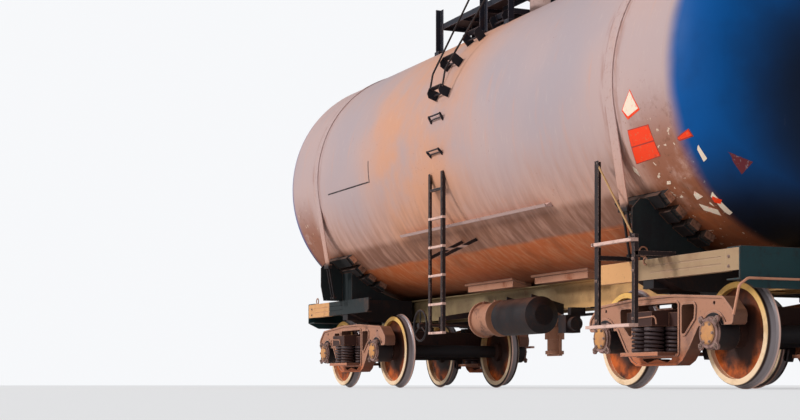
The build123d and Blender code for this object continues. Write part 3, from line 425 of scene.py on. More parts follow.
def tank_paint():
    """Pinkish grey paint, streaked and stained, with the brown belly below a hard line."""
    finish = Finish("tank_paint")
    angle = tank_angle(finish)
    along = finish.x.size()
    cloud = finish.noise(2.2, 4.0)
    grit = finish.noise(30.0, 4.0, 0.7)
    grey(finish, angle)
    edge = finish.z + (finish.noise(1.4, 4.0, 0.6) - 0.5) * 0.07
    stain = edge.fall(BELLY_LINE - 0.03, BELLY_LINE + 0.015)
    oil = finish.mix(runs_down(finish, 16.0).rise(0.42, 0.66), "belly_stain", "belly_pale")
    oil = finish.mix(cloud.rise(0.46, 0.7) * 0.55, oil, "rust")
    finish.coat(stain * 0.94, oil)
    finish.coat(stain * along.rise(PIVOT_X - 1.4, PIVOT_X - 0.3) * 0.55, "rust")
    # painted shade: the bottom of the tank darkened
    finish.coat(finish.z.fall(RAIL + 1.25, RAIL + 1.46) * 0.7, "dark_rust")
    soil(finish, along.rise(PIVOT_X + 0.10, PIVOT_X + 0.40) * angle.fall(-30, 0))
    streak = along.near(PIVOT_X, 0.09, 0.12) * runs_down(finish, 22.0).rise(0.42, 0.6)
    finish.coat(streak * 0.4, "rust")
    chips = grit.rise(0.64, 0.70) * finish.noise(0.8, 3.0).rise(0.52, 0.62)
    finish.coat(chips * 0.7, "rust")
    spray(finish, angle, finish.noise(1.6, 4.0))
    height = finish.noise(1.1, 2.0) * 0.8 + grit * 0.02 + chips * -0.02
    finish.done(0.44 + cloud * 0.2 + stain * 0.15, finish.bump(height, 0.3, 0.05))


def band_paint():
    """The tie bands: the tank's grey above, and bare dark iron on the bolted tails."""
    finish = Finish("band_paint")
    grit = finish.noise(24.0, 4.0, 0.65)
    grey(finish, tank_angle(finish))
    finish.coat(grit.rise(0.5, 0.8) * 0.4, "rust")
    # rust along the band's edges, also a painted shadow line where the band stands off the tank
    finish.coat(finish.edges(0.004) * 0.5, "rust")
    tail = (finish.z + (grit - 0.5) * 0.05).fall(RAIL + 1.66, RAIL + 1.74)
    finish.coat(tail, finish.mix(grit.rise(0.45, 0.7), "gear_black", "dark_rust"))
    finish.done(0.5 + grit * 0.2, finish.bump(grit, 0.2, 0.003, 0.003))


def head_paint():
    """Blue head with a sprayed edge over the tank's grey, darkened with painted shade towards its outer end
    and its bottom.
    """
    finish = Finish("head_paint")
    angle = tank_angle(finish)
    cloud = finish.noise(1.6, 4.0)
    grey(finish, angle)
    soil(finish, angle.fall(-34, -2))
    spray(finish, angle, cloud)
    height = finish.noise(1.3, 2.0) + finish.noise(9.0, 5.0, 0.7) * 0.02
    finish.done(0.42 + cloud * 0.2, finish.bump(height, 0.25, 0.05), shine=0.12)


def weathered(name, main, worn, edge, wear, radius, rough, top_tint):
    """Painted or cast iron: cloudy wear, grit, pale worn edges, a paler tint on faces that look up and a
    darker one on faces that look down.
    """
    finish = Finish(name)
    cloud, fine = finish.grain(3.0, 34.0)
    drips = finish.noise(11.0, 3.0, 0.6, (1.0, 1.0, 0.16))
    mask = (cloud * 0.5 + fine * 0.25 + drips * 0.25).rise(0.60 - wear * 0.24, 0.76 - wear * 0.2)
    finish.base = finish.mix(mask, main, worn)
    finish.coat(fine.rise(0.6, 0.74) * 0.35, "dark_rust")
    # darker on faces that look down, paler on faces that look up
    finish.coat(finish.up.fall(-0.95, -0.35) * 0.35, "dark_rust")
    finish.coat(finish.up.rise(0.4, 0.9) * cloud.rise(0.25, 0.6) * top_tint, "bracket_pink")
    finish.coat(finish.edges(radius * 1.6) * fine.rise(0.3, 0.55) * 0.75, edge)
    finish.done(rough + cloud * 0.16, finish.bump(fine * 0.7 + cloud * 0.5, 0.3, 0.004, radius))


def timber():
    """Sooty timber bearers with pale sawn ends and grain along the car."""
    finish = Finish("timber")
    grain = finish.noise(26.0, 4.0, 0.6, (0.06, 1.0, 1.0))
    finish.base = finish.mix(grain.rise(0.4, 0.62), "timber", "soot")
    sawn = finish.mix(grain.rise(0.46, 0.6) * 0.5, "bracket_pink", "grime")
    upper = tank_angle(finish).rise(-50, -44)
    finish.coat(finish.ahead.size().rise(0.7, 0.9) * (0.3 + upper * 0.65), sawn)
    finish.coat(finish.noise(6.0, 4.0, 0.6).rise(0.56, 0.72) * 0.5, "soot")
    finish.done(0.8, finish.bump(grain, 0.5, 0.004, 0.006))


def centre_sill_paint():
    """The centre sill: tan near end a, pale green towards end b, with a band of painted shade between its
    flanges.
    """
    finish = Finish("centre_sill_paint")
    cloud, fine = finish.grain(2.4, 30.0)
    finish.base = finish.mix((finish.x + cloud * 0.9).rise(0.2, 1.9), "sill_green", "sill_tan")
    finish.coat((cloud * 0.6 + fine * 0.4).rise(0.54, 0.72) * 0.7, "grime")
    finish.coat(fine.rise(0.6, 0.74) * 0.4, "dark_rust")
    # painted shade: a dark band below the sill's top, between its flanges
    finish.coat(finish.z.near(SILL_TOP - 0.15, 0.08, 0.05) * cloud.rise(0.3, 0.6) * 0.45, "dark_rust")
    finish.done(0.58 + cloud * 0.15, finish.bump(fine, 0.25, 0.004, 0.004))


def side_sill_paint():
    """The side sills: dull beige towards end a, warmer behind the saddle, with painted shadow over their
    stretch within end b.
    """
    finish = Finish("sill_paint")
    cloud, fine = finish.grain(3.0, 34.0)
    along = finish.x * -1 * finish.number("ShaderNodeMath", {"operation": "SIGN"}, {0: finish.y})
    finish.base = finish.mix(along.rise(PIVOT_X - 0.25, PIVOT_X - 0.15), "sill_warm", "sill_beige")
    # painted shadow: frame green over the sills' stretch within end b
    shadow_stretch = along.near(-2.25, 2.22, 0.06)
    finish.coat(shadow_stretch, "frame_green")
    finish.coat(cloud.rise(0.5, 0.7) * 0.35, "grime")
    finish.coat(fine.rise(0.6, 0.74) * 0.3, "dark_rust")
    finish.coat(finish.edges(0.006) * (1 - shadow_stretch) * 0.5, "step_pink")
    finish.done(0.56 + cloud * 0.15, finish.bump(fine, 0.25, 0.004, 0.004))


def ladder_paint(name, treads):
    """Dark stiles with worn edges, and pale treads at their heights."""
    finish = Finish(name)
    cloud = finish.noise(5.0, 4.0, 0.6)
    fine = finish.noise(40.0, 4.0, 0.65)
    finish.base = finish.mix(cloud.rise(0.45, 0.7) * 0.6, "ladder_brown", "step_navy")
    finish.coat(fine.rise(0.6, 0.72) * 0.4, "rust")
    finish.coat(finish.edges(0.006) * fine.rise(0.34, 0.6) * 0.7, "step_pink")
    stay = finish.x.size().rise(PIVOT_X - 0.263, PIVOT_X - 0.250)
    finish.coat(stay * finish.z.rise(RAIL + 1.40, RAIL + 1.42) * 0.75, "sill_tan")
    for low, high in treads:
        pale = finish.z.near((low + high) / 2, (high - low) / 2, 0.003)
        finish.coat(pale * (1 - cloud.rise(0.45, 0.75) * 0.6), "step_pink")
    finish.done(0.5 + cloud * 0.2, finish.bump(fine, 0.25, 0.003, 0.003))


def axle_reach(finish):
    """Distance in the XZ plane to the nearest axle line."""
    height = finish.z - AXLE_HEIGHT
    reach = None
    for x in AXLES:
        shift = finish.x - x
        own = finish.number("ShaderNodeMath", {"operation": "SQRT"}, {0: shift * shift + height * height})
        reach = own if reach is None else reach.least(own)
    return reach


def box_casting():
    """Axle boxes: tan covers, pinkish flanges and oily dark bodies."""
    finish = Finish("box_casting")
    cloud, fine = finish.grain(7.0, 42.0)
    reach = axle_reach(finish)
    out = finish.y.size()
    finish.base = finish.mix(cloud.rise(0.5, 0.75) * 0.5, "gear_black", "casting_dark")
    finish.coat(out.rise(1.108, 1.124), finish.mix(cloud.rise(0.4, 0.66), "box_pink", "casting_dark"))
    cover = finish.mix(cloud.rise(0.42, 0.66) * 0.6, "cover_tan", "casting")
    cover = finish.mix(reach.rise(0.078, 0.104) * 0.5, cover, "casting_dark")
    finish.coat(reach.fall(0.103, 0.108) * out.rise(1.14, 1.146), cover)
    finish.coat(finish.edges(0.005) * 0.6, "step_pink")
    finish.coat(fine.rise(0.6, 0.74) * 0.35, "dark_rust")
    finish.done(0.5 + cloud * 0.2, finish.bump(fine, 0.3, 0.003, 0.004))


def bogie_casting():
    """Side frames: dusty tan-pink faces, painted shade in the windows and on every face that does not face
    outwards, paler faces that look up, and painted orange low light along the lower lip.
    """
    finish = Finish("bogie_casting")
    cloud, fine = finish.grain(3.4, 36.0)
    finish.base = finish.mix((cloud * 0.7 + fine * 0.3).rise(0.5, 0.68) * 0.55, "casting", "box_pink")
    # painted warm low sunlight: orange along the lower edge of the frame
    finish.coat(finish.z.fall(RAIL + 0.20, RAIL + 0.36) * 0.7, "wheel_rust")
    # painted shade: darker on faces that do not face outwards, as in the windows
    finish.coat(finish.side.size().fall(0.25, 0.7) * 0.72, "casting_dark")
    # paler on faces that look up
    finish.coat(finish.up.rise(0.5, 0.9) * 0.5, "casting")
    finish.coat(fine.rise(0.58, 0.72) * 0.4, "dark_rust")
    finish.coat(finish.noise(1.9, 5.0, 0.65).rise(0.56, 0.70) * 0.6, "casting_dark")
    finish.coat(finish.edges(0.008) * fine.rise(0.3, 0.55) * 0.6, "step_pink")
    finish.done(0.56 + cloud * 0.16, finish.bump(fine * 0.6 + cloud * 0.8, 0.35, 0.005, 0.007))


def wheel_steel():
    """Pale rim face in painted sunlight, bright below and amber above, a dull tread, and a rusty plate with
    painted shadow over its upper part, darker towards the hub.
    """
    finish = Finish("wheel_steel")
    cloud = finish.noise(5.0, 5.0, 0.6)
    reach = axle_reach(finish)
    out = finish.y.size()
    finish.base = finish.mix(cloud.rise(0.34, 0.68), "wheel_rust", "wheel_dark")
    finish.coat(reach.fall(0.20, 0.36), "wheel_dark")
    # painted shadow of the frame over the upper part of the plate
    finish.coat((finish.z + cloud * 0.1).rise(RAIL + 0.32, RAIL + 0.50) * 0.7, "wheel_dark")
    finish.coat(out.fall(0.66, 0.70), "gear_black")
    # painted sunlight on the rim face: near white at the bottom, amber at the top
    face = finish.mix(finish.z.rise(RAIL + 0.35, RAIL + 0.9), "wheel_rim", "rim_amber")
    face = finish.mix(cloud.rise(0.48, 0.7) * 0.5, face, "sill_tan")
    dull = finish.mix(out.near(0.775, 0.03, 0.02), "wheel_dark", "tread_steel")
    dull = finish.mix(reach.rise(WHEEL_RADIUS + 0.016, WHEEL_RADIUS + 0.024), dull, "step_pink")
    tread = reach.rise(WHEEL_RADIUS - 0.012, WHEEL_RADIUS - 0.004)
    rim = reach.rise(WHEEL_RADIUS - 0.068, WHEEL_RADIUS - 0.060)
    finish.coat(rim, finish.mix(tread, face, dull))
    normal = finish.bump(finish.noise(40.0, 3.0), 0.15, 0.003)
    finish.done(0.62 - rim * 0.28 + cloud * 0.1, normal, metallic=rim * 0.25)


def blank_label(name, main, mark):
    """A bare sticker: faded, scuffed and torn, with nothing printed on it."""
    finish = Finish(name)
    finish.base = finish.mix(finish.noise(26.0, 5.0, 0.7).rise(0.56, 0.66) * 0.5, main, mark)
    finish.coat(finish.noise(9.0, 4.0).rise(0.6, 0.72) * 0.4, "grime")
    finish.done(0.5)


WEATHERED = (
    # name, main colour, worn colour, edge colour, wear, edge radius, roughness, tint of faces that look up
    ("drip_paint", "tank_grey", "rust", "dark_rust", 0.3, 0.003, 0.5, 0.2),
    ("hatch_paint", "tank_grey", "rust", "rust", 0.3, 0.004, 0.5, 0.3),
    ("saddle_paint", "frame_green", "soot", "grime", 0.6, 0.004, 0.55, 0.2),
    ("beam_paint", "beam_teal", "frame_green", "grime", 0.45, 0.005, 0.5, 0.3),
    ("gear_paint", "gear_black", "dark_rust", "casting_dark", 0.5, 0.004, 0.5, 0.15),
    ("cylinder_paint", "casting", "casting_dark", "step_pink", 0.5, 0.004, 0.5, 0.3),
    ("bracket_paint", "casting", "rust", "step_pink", 0.4, 0.004, 0.55, 0.4),
    ("step_paint", "step_navy", "ladder_brown", "box_pink", 0.4, 0.003, 0.5, 0.1),
    ("platform_paint", "platform_blue", "dark_rust", "tank_cool", 0.3, 0.004, 0.5, 0.2),
    ("lever_paint", "bracket_pink", "rust", "step_pink", 0.4, 0.004, 0.5, 0.2),
    ("coupler_casting", "gear_black", "dark_rust", "bare_steel", 0.5, 0.006, 0.5, 0.2),
    ("bolster_casting", "casting_dark", "gear_black", "casting", 0.5, 0.007, 0.55, 0.25),
    ("spring_steel", "spring_grey", "dark_rust", "box_pink", 0.4, 0.003, 0.4, 0.2),
    ("bolt_steel", "bare_steel", "dark_rust", "step_pink", 0.4, 0.002, 0.45, 0.2),
)
LABELS = (
    # name, main colour, colour of the scuffs
    ("label_orange", "label_orange", "belly_pale"), ("label_white", "label_white", "label_orange"),
    ("label_red", "label_red", "head_navy"), ("label_torn", "torn_red", "tank_cool"),
    ("rule_paint", "ladder_brown", "tank_cool"),
)
# How the names of the frame's nodes start, and the finish that they get
NODE_FINISHES = {
    "tank_barrel": "tank_paint", "tank_head_": "head_paint", "tie_band_": "band_paint",
    "drip_rails": "drip_paint", "saddle_a": "saddle_paint", "saddle_b": "saddle_paint",
    "saddle_timbers": "timber", "centre_sill": "centre_sill_paint", "bolster_beam_": "gear_paint",
    "end_beam_": "beam_paint", "side_sills": "sill_paint", "anchor_brackets": "bracket_paint",
    "side_ladder_": "ladder_paint", "tank_steps": "step_paint", "end_steps": "end_step_paint",
    "step_handrails": "ladder_paint", "platform_": "platform_paint", "hatch_": "hatch_paint",
    "relief_valve": "hatch_paint", "outlet_valve": "bracket_paint", "brake_cylinder": "cylinder_paint",
    "air_": "gear_paint", "brake_": "gear_paint", "handbrake_wheel": "gear_paint",
    "uncoupling_levers": "lever_paint", "coupler_": "coupler_casting", "side_frames_": "bogie_casting",
    "axle_boxes_": "box_casting", "bogie_bolster_": "bolster_casting", "springs_": "spring_steel",
    "wheelset_": "wheel_steel",
}


class TANKCAR_OT_finishes(bpy.types.Operator):
    """Give every piece of the frame its paint, rust or bare steel"""

    bl_idname = "tankcar.finishes"
    bl_label = "Finishes"

    def execute(self, context):
        for recipe in WEATHERED:
            weathered(*recipe)
        for recipe in LABELS:
            blank_label(*recipe)
        for make in (tank_paint, band_paint, head_paint, timber, centre_sill_paint, side_sill_paint,
                     box_casting, bogie_casting, wheel_steel):
            make()
        ladder_paint("ladder_paint", LADDER_RUNGS)
        ladder_paint("end_step_paint", END_TREADS)
        for name, node in frame["nodes"].items():
            kinds = [kind for start, kind in NODE_FINISHES.items() if name.startswith(start)]
            if not kinds:
                raise RuntimeError("no finish for " + name)
            node.data.materials.clear()
            node.data.materials.append(material(kinds[0]))
        return {"FINISHED"}


class Pattern(Tree):
    """A Geometry Nodes tree in the making: one geometry in, named sizes, one geometry out."""

    def __init__(self, name, **sizes):
        super().__init__(bpy.data.node_groups.new(name, "GeometryNodeTree"))
        for way in ("INPUT", "OUTPUT"):
            self.tree.interface.new_socket(name="Geometry", in_out=way, socket_type="NodeSocketGeometry")
        self.values = {}
        for label, value in sizes.items():
            socket = self.tree.interface.new_socket(name=label, in_out="INPUT",
                                                    socket_type="NodeSocketFloat")
            self.values[socket.identifier] = value
        entry = self.node("NodeGroupInput")
        self.entry = entry.outputs[0]
        self.size = {label: Number(self, entry.outputs[label]) for label in sizes}

    def vector(self, x=0.0, y=0.0, z=0.0):
        """A vector from three numbers."""
        return self.out("ShaderNodeCombineXYZ", {}, {0: x, 1: y, 2: z})

    def moved(self, geometry, x=0.0, y=0.0, z=0.0):
        """A geometry set at an offset."""
        return self.out("GeometryNodeTransform", {},
                        {"Geometry": geometry, "Translation": self.vector(x, y, z)})

    def prism(self, sides, radius, depth):
        """A standing prism on the origin."""
        body = self.out("GeometryNodeMeshCylinder", {},
                        {"Vertices": sides, "Radius": radius, "Depth": depth})
        return self.moved(body, z=depth * 0.5)

    def joined(self, *parts):
        """Several geometries as one."""
        return self.out("GeometryNodeJoinGeometry", {}, {0: list(parts)})

    def tube(self, curve, radius, sides):
        """A round bar along a curve."""
        ring = self.out("GeometryNodeCurvePrimitiveCircle", {}, {"Resolution": sides, "Radius": radius})
        bar = self.out("GeometryNodeCurveToMesh", {},
                       {"Curve": curve, "Profile Curve": ring, "Fill Caps": True})
        return self.out("GeometryNodeSetShadeSmooth", {}, {"Geometry": bar})

    def facing(self):
        """Each point's facing."""
        return self.out("GeometryNodeInputNamedAttribute", {"data_type": "FLOAT_VECTOR"},
                        {"Name": "facing"})

    def line(self):
        """The edges that come in, as curves."""
        return self.out("GeometryNodeMeshToCurve", {}, {0: self.entry})

    def upright(self, seed=None):
        """The turn that stands a copy on each point's facing, spun at random where a seed is given."""
        turn = self.out("FunctionNodeAlignRotationToVector", {"axis": "Z"}, {"Vector": self.facing()})
        if seed is None:
            return turn
        chance = self.number("FunctionNodeRandomValue", {"data_type": "FLOAT"}, {3: math.pi, 8: seed}, 1)
        spin = self.out("FunctionNodeEulerToRotation", {}, {0: self.vector(z=chance)})
        return self.out("FunctionNodeRotateRotation", {"rotation_space": "LOCAL"}, {0: turn, 1: spin})

    def placed(self, thing, turn):
        """A copy of a thing on each point."""
        return self.out("GeometryNodeInstanceOnPoints", {},
                        {"Points": self.entry, "Instance": thing, "Rotation": turn})

    def finish(self, geometry, name):
        """Make the copies real, give them their material and close the tree."""
        real = self.out("GeometryNodeRealizeInstances", {}, {0: geometry})
        dressed = self.out("GeometryNodeSetMaterial", {}, {"Geometry": real, "Material": material(name)})
        self.node("NodeGroupOutput", {}, {0: dressed})
        return self


def bolt_pattern(name, width, height):
    """Hexagon nuts on washers, each with its bolt end."""
    tree = Pattern(name, Width=width, Height=height)
    wide, high = tree.size["Width"], tree.size["Height"]
    washer = tree.prism(12, wide * 0.72, high * 0.25)
    nut = tree.prism(6, wide * 0.577, high)
    end = tree.prism(8, wide * 0.30, high * 1.45)
    return tree.finish(tree.placed(tree.joined(washer, nut, end), tree.upright(seed=7)), "bolt_steel")


def spring_pattern(name, radius, wire, height, turns, backwards=False):
    """Upright coil springs on points at their foot, with flat closed ends."""
    tree = Pattern(name, Radius=radius, Wire=wire, Height=height, Turns=turns)
    wire, high, turns = tree.size["Wire"], tree.size["Height"], tree.size["Turns"]
    reach = tree.size["Radius"] - wire * 0.5
    handed = {"Resolution": 18, "Rotations": turns, "Start Radius": reach, "End Radius": reach,
              "Height": high - wire, "Reverse": backwards}
    spiral = tree.out("GeometryNodeCurveSpiral", {}, handed)
    coil = tree.tube(tree.moved(spiral, z=wire * 0.5), wire * 0.5, 8)
    ring = tree.out("GeometryNodeCurvePrimitiveCircle", {}, {"Resolution": 28, "Radius": reach})
    foot = tree.tube(tree.moved(ring, z=wire * 0.5), wire * 0.5, 6)
    head = tree.tube(tree.moved(ring, z=high - wire * 0.5), wire * 0.5, 6)
    return tree.finish(tree.placed(tree.joined(coil, foot, head), tree.upright()), "spring_steel")


def bar_pattern(name, thickness, bend, finish):
    """Round bars along edges, bent at their corners."""
    tree = Pattern(name, Thickness=thickness, Bend=bend)
    bent = tree.out("GeometryNodeFilletCurve", {},
                    {"Curve": tree.line(), "Radius": tree.size["Bend"], "Limit Radius": True})
    return tree.finish(tree.tube(bent, tree.size["Thickness"] * 0.5, 8), finish)


def seam_pattern(name, width, finish):
    """Hand-laid weld beads along edges, a little uneven."""
    tree = Pattern(name, Width=width)
    wide = tree.size["Width"]
    ripple = tree.out("ShaderNodeTexNoise", {"noise_dimensions": "3D"}, {"Scale": 30.0, "Detail": 2.0},
                      "Color")
    shift = tree.out("ShaderNodeVectorMath", {"operation": "SUBTRACT"}, {0: ripple, 1: (0.5, 0.5, 0.5)})
    sway = tree.out("ShaderNodeVectorMath", {"operation": "SCALE"}, {0: shift, "Scale": wide * 0.35})
    line = tree.out("GeometryNodeSetPosition", {}, {"Geometry": tree.line(), "Offset": sway})
    return tree.finish(tree.tube(line, wide * 0.5, 6), finish)


def tread_pattern(name, long):
    """Low lozenges, turned by each point's facing."""
    tree = Pattern(name, Length=long)
    long = tree.size["Length"]
    body = tree.out("GeometryNodeMeshCylinder", {},
                    {"Vertices": 4, "Radius": long * 0.5, "Depth": long * 0.06})
    low = tree.out("GeometryNodeTransform", {}, {"Geometry": body, "Scale": (1.0, 0.32, 1.0)})
    turn = tree.out("FunctionNodeAlignRotationToVector", {"axis": "X", "pivot_axis": "Z"},
                    {"Vector": tree.facing()})
    return tree.finish(tree.placed(low, turn), "platform_paint")


def material(name):
    """A finish that an earlier step made."""
    return FINISHES[name]


def linked(name, data):
    """A new object, in the scene."""
    thing = bpy.data.objects.new(name, data)
    bpy.context.scene.collection.objects.link(thing)
    return thing


def show(name, mesh, body):
    """Put a mesh in the scene, riding on a body."""
    piece = linked(name, mesh)
    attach(piece, body)
    return piece


def made_by(name, mesh, kind, prepare):
    """What a modifier makes of a mesh, as a plain mesh."""
    carrier = linked(name + "_carrier", mesh)
    prepare(carrier.modifiers.new("making", kind))
    bpy.context.view_layer.update()
    made = carrier.evaluated_get(bpy.context.evaluated_depsgraph_get())
    result = bpy.data.meshes.new_from_object(made)
    result.name = name
    bpy.data.objects.remove(carrier)
    return result


def grow(name, body, pattern, points, facings=(), edges=()):
    """Run a pattern over points or edges and keep what it makes as a plain mesh."""
    seed = bpy.data.meshes.new(name + "_places")
    seed.from_pydata([tuple(point) for point in points], list(edges), [])
    if facings:
        attribute = seed.attributes.new("facing", "FLOAT_VECTOR", "POINT")
        for item, facing in zip(attribute.data, facings):
            item.vector = facing

    def prepare(modifier):
        modifier.node_group = pattern.tree
        for identifier, value in pattern.values.items():
            modifier[identifier] = value
    return show(name, made_by(name, seed, "NODES", prepare), body)


def lines(*paths):
    """Points and edges of open paths, or of closed ones whose last point is the first again."""
    points, edges = [], []
    for path in paths:
        closed = (Vector(path[0]) - Vector(path[-1])).length < 1e-6
        own = path[:-1] if closed else path
        first = len(points)
        points += own
        edges += [(first + step, first + step + 1) for step in range(len(own) - 1)]
        if closed:
            edges.append((first + len(own) - 1, first))
    return points, edges


def grow_along(name, body, pattern, paths):
    """Run a pattern along paths and keep what it makes."""
    points, edges = lines(*paths)
    return grow(name, body, pattern, points, edges=edges)


def ring(centre, radius, across, up, count):
    """A closed ring of points round a centre, in the plane of two directions."""
    centre, across, up = Vector(centre), Vector(across), Vector(up)
    return [centre + across * (radius * math.cos(turn)) + up * (radius * math.sin(turn))
            for turn in (2 * math.pi * (step % count) / count for step in range(count + 1))]


def body_of(node):
    """The body that a node rides on."""
    return frame["nodes"][node]["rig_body"]


SKINS = {}


def surface(mesh):
    """A mesh's faces, ready for rays."""
    return BVHTree.FromPolygons([vertex.co for vertex in mesh.vertices],
                                [polygon.vertices for polygon in mesh.polygons])


def skin(node):
    """A node's surface, or that of the piece that stands for it, to seat things on."""
    if node not in SKINS:
        SKINS[node] = surface(frame["nodes"][node].data)
    return SKINS[node]


def seat(node, start, way):
    """Where a line from start meets a node, and the way that its surface faces there."""
    place, facing, index, far = skin(node).ray_cast(Vector(start), Vector(way))
    if place is None:
        raise RuntimeError("nothing of %s below %s" % (node, tuple(start)))
    return place, facing if facing.dot(Vector(way)) < 0 else -facing


def add_bolts(name, pattern, aims):
    """Bolts seated where lines meet nodes, one mesh for each body. An aim is node, start, way."""
    by_body = {}
    for node, start, way in aims:
        by_body.setdefault(body_of(node), []).append(seat(node, start, way))
    for body, seats in by_body.items():
        grow("%s_%s" % (name, body), body, pattern,
             [place for place, facing in seats], [facing for place, facing in seats])


def rounded_loop(corners, steps=6):
    """A closed loop through corners; a third number on a corner is the radius that rounds it."""
    loop = []
    for index, (across, up, *radius) in enumerate(corners):
        spot = Vector((across, up))
        if not radius or radius[0] <= 0:
            loop.append(spot)
            continue
        back = (Vector(corners[index - 1][:2]) - spot).normalized()
        onward = (Vector(corners[(index + 1) % len(corners)][:2]) - spot).normalized()
        half = back.angle(onward) / 2
        centre = spot + (back + onward).normalized() * (radius[0] / math.sin(half))
        first = spot + back * (radius[0] / math.tan(half)) - centre
        last = spot + onward * (radius[0] / math.tan(half)) - centre
        start = math.atan2(first.y, first.x)
        sweep = math.remainder(math.atan2(last.y, last.x) - start, 2 * math.pi)
        for step in range(steps + 1):
            turn = start + sweep * step / steps
            loop.append(centre + Vector((math.cos(turn), math.sin(turn))) * radius[0])
    return loop


def drawn_in(corners, margin):
    """The corners of an anticlockwise loop moved inwards, or outwards for a margin below nought."""
    moved = []
    for index, (across, up, *radius) in enumerate(corners):
        spot = Vector((across, up))
        before = (spot - Vector(corners[index - 1][:2])).normalized()
        after = (Vector(corners[(index + 1) % len(corners)][:2]) - spot).normalized()
        first, second = Vector((-before.y, before.x)), Vector((-after.y, after.x))
        place = spot + (first + second) * (margin / (1 + first.dot(second)))
        bend = 1 if before.cross(after) > 0 else -1
        moved.append((place.x, place.y, *[max(size - margin * bend, 0.003) for size in radius if size]))
    return moved


def arc(centre, radius, start, end, count=12):
    """Corners along an arc, in degrees."""
    turns = [math.radians(start + (end - start) * step / count) for step in range(count + 1)]
    return [(centre[0] + radius * math.cos(turn), centre[1] + radius * math.sin(turn)) for turn in turns]


def add_plate(shape, loops, low, high, place, recess=0.0):
    """A plate between two depths. A loop is corners and the width of its rim; the first is outside."""
    floors, faces = [], []
    for order, (corners, rim) in enumerate(loops):
        edge = rounded_loop(corners)
        margin = rim if order == 0 else -rim
        top = high if rim or not recess else high - recess
        levels = [[(spot, low) for spot in edge], [(spot, top) for spot in edge]]
        if rim:
            inner = rounded_loop(drawn_in(corners, margin))
            levels += [[(spot, high) for spot in inner], [(spot, high - recess) for spot in inner]]
        rows = [[shape.verts.new(place(spot.x, spot.y, depth)) for spot, depth in level] for level in levels]
        for lower, upper in zip(rows, rows[1:]):
            for step in range(len(edge)):
                shape.faces.new((lower[step - 1], lower[step], upper[step], upper[step - 1]))
        floors.append(rows[0])
        faces.append(rows[-1])
    for rows in (floors, faces):
        edges = [shape.edges.get((row[step - 1], row[step])) for row in rows for step in range(len(row))]
        bmesh.ops.triangle_fill(shape, use_beauty=True, edges=edges)


def add_bar(shape, x, y, z):
    """A straight bar between two corners."""
    add_plate(shape, [([(x[0], z[0]), (x[1], z[0]), (x[1], z[1]), (x[0], z[1])], 0)], y[0], y[1],
              lambda across, up, depth: (across, depth, up))


def add_turned(shape, profile, place, steps=40):
    """A profile of depth and radius, turned round a line; its ends lie on the line."""
    rows = []
    for depth, radius in profile:
        if radius == 0:
            rows.append([shape.verts.new(place(0, 0, depth))] * steps)
            continue
        rows.append([shape.verts.new(place(radius * math.cos(turn), radius * math.sin(turn), depth))
                     for turn in (2 * math.pi * step / steps for step in range(steps))])
    for lower, upper in zip(rows, rows[1:]):
        for step in range(steps):
            corners = [lower[step - 1], lower[step], upper[step], upper[step - 1]]
            shape.faces.new(list(dict.fromkeys(corners)))


def keep(name, shape, body, finish, nodes=(), edge=0.0, stands_for=()):
    """Keep a built shape as a piece with softened edges, in place of nodes or beside them.

    Bolts aimed at the nodes that it stands for are seated on it.
    """
    bmesh.ops.recalc_face_normals(shape, faces=shape.faces)
    mesh = bpy.data.meshes.new(name)
    shape.to_mesh(mesh)
    shape.free()
    if edge:
        def prepare(bevel):
            bevel.width = edge
            bevel.segments = 2
            bevel.limit_method = "ANGLE"
            bevel.angle_limit = math.radians(40)
        mesh = made_by(name, mesh, "BEVEL", prepare)
    mesh.materials.clear()
    mesh.materials.append(material(finish))
    piece = show(name, mesh, body)
    if nodes:
        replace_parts(piece, *nodes)
    for node in stands_for:
        SKINS[node] = surface(mesh)
    return piece


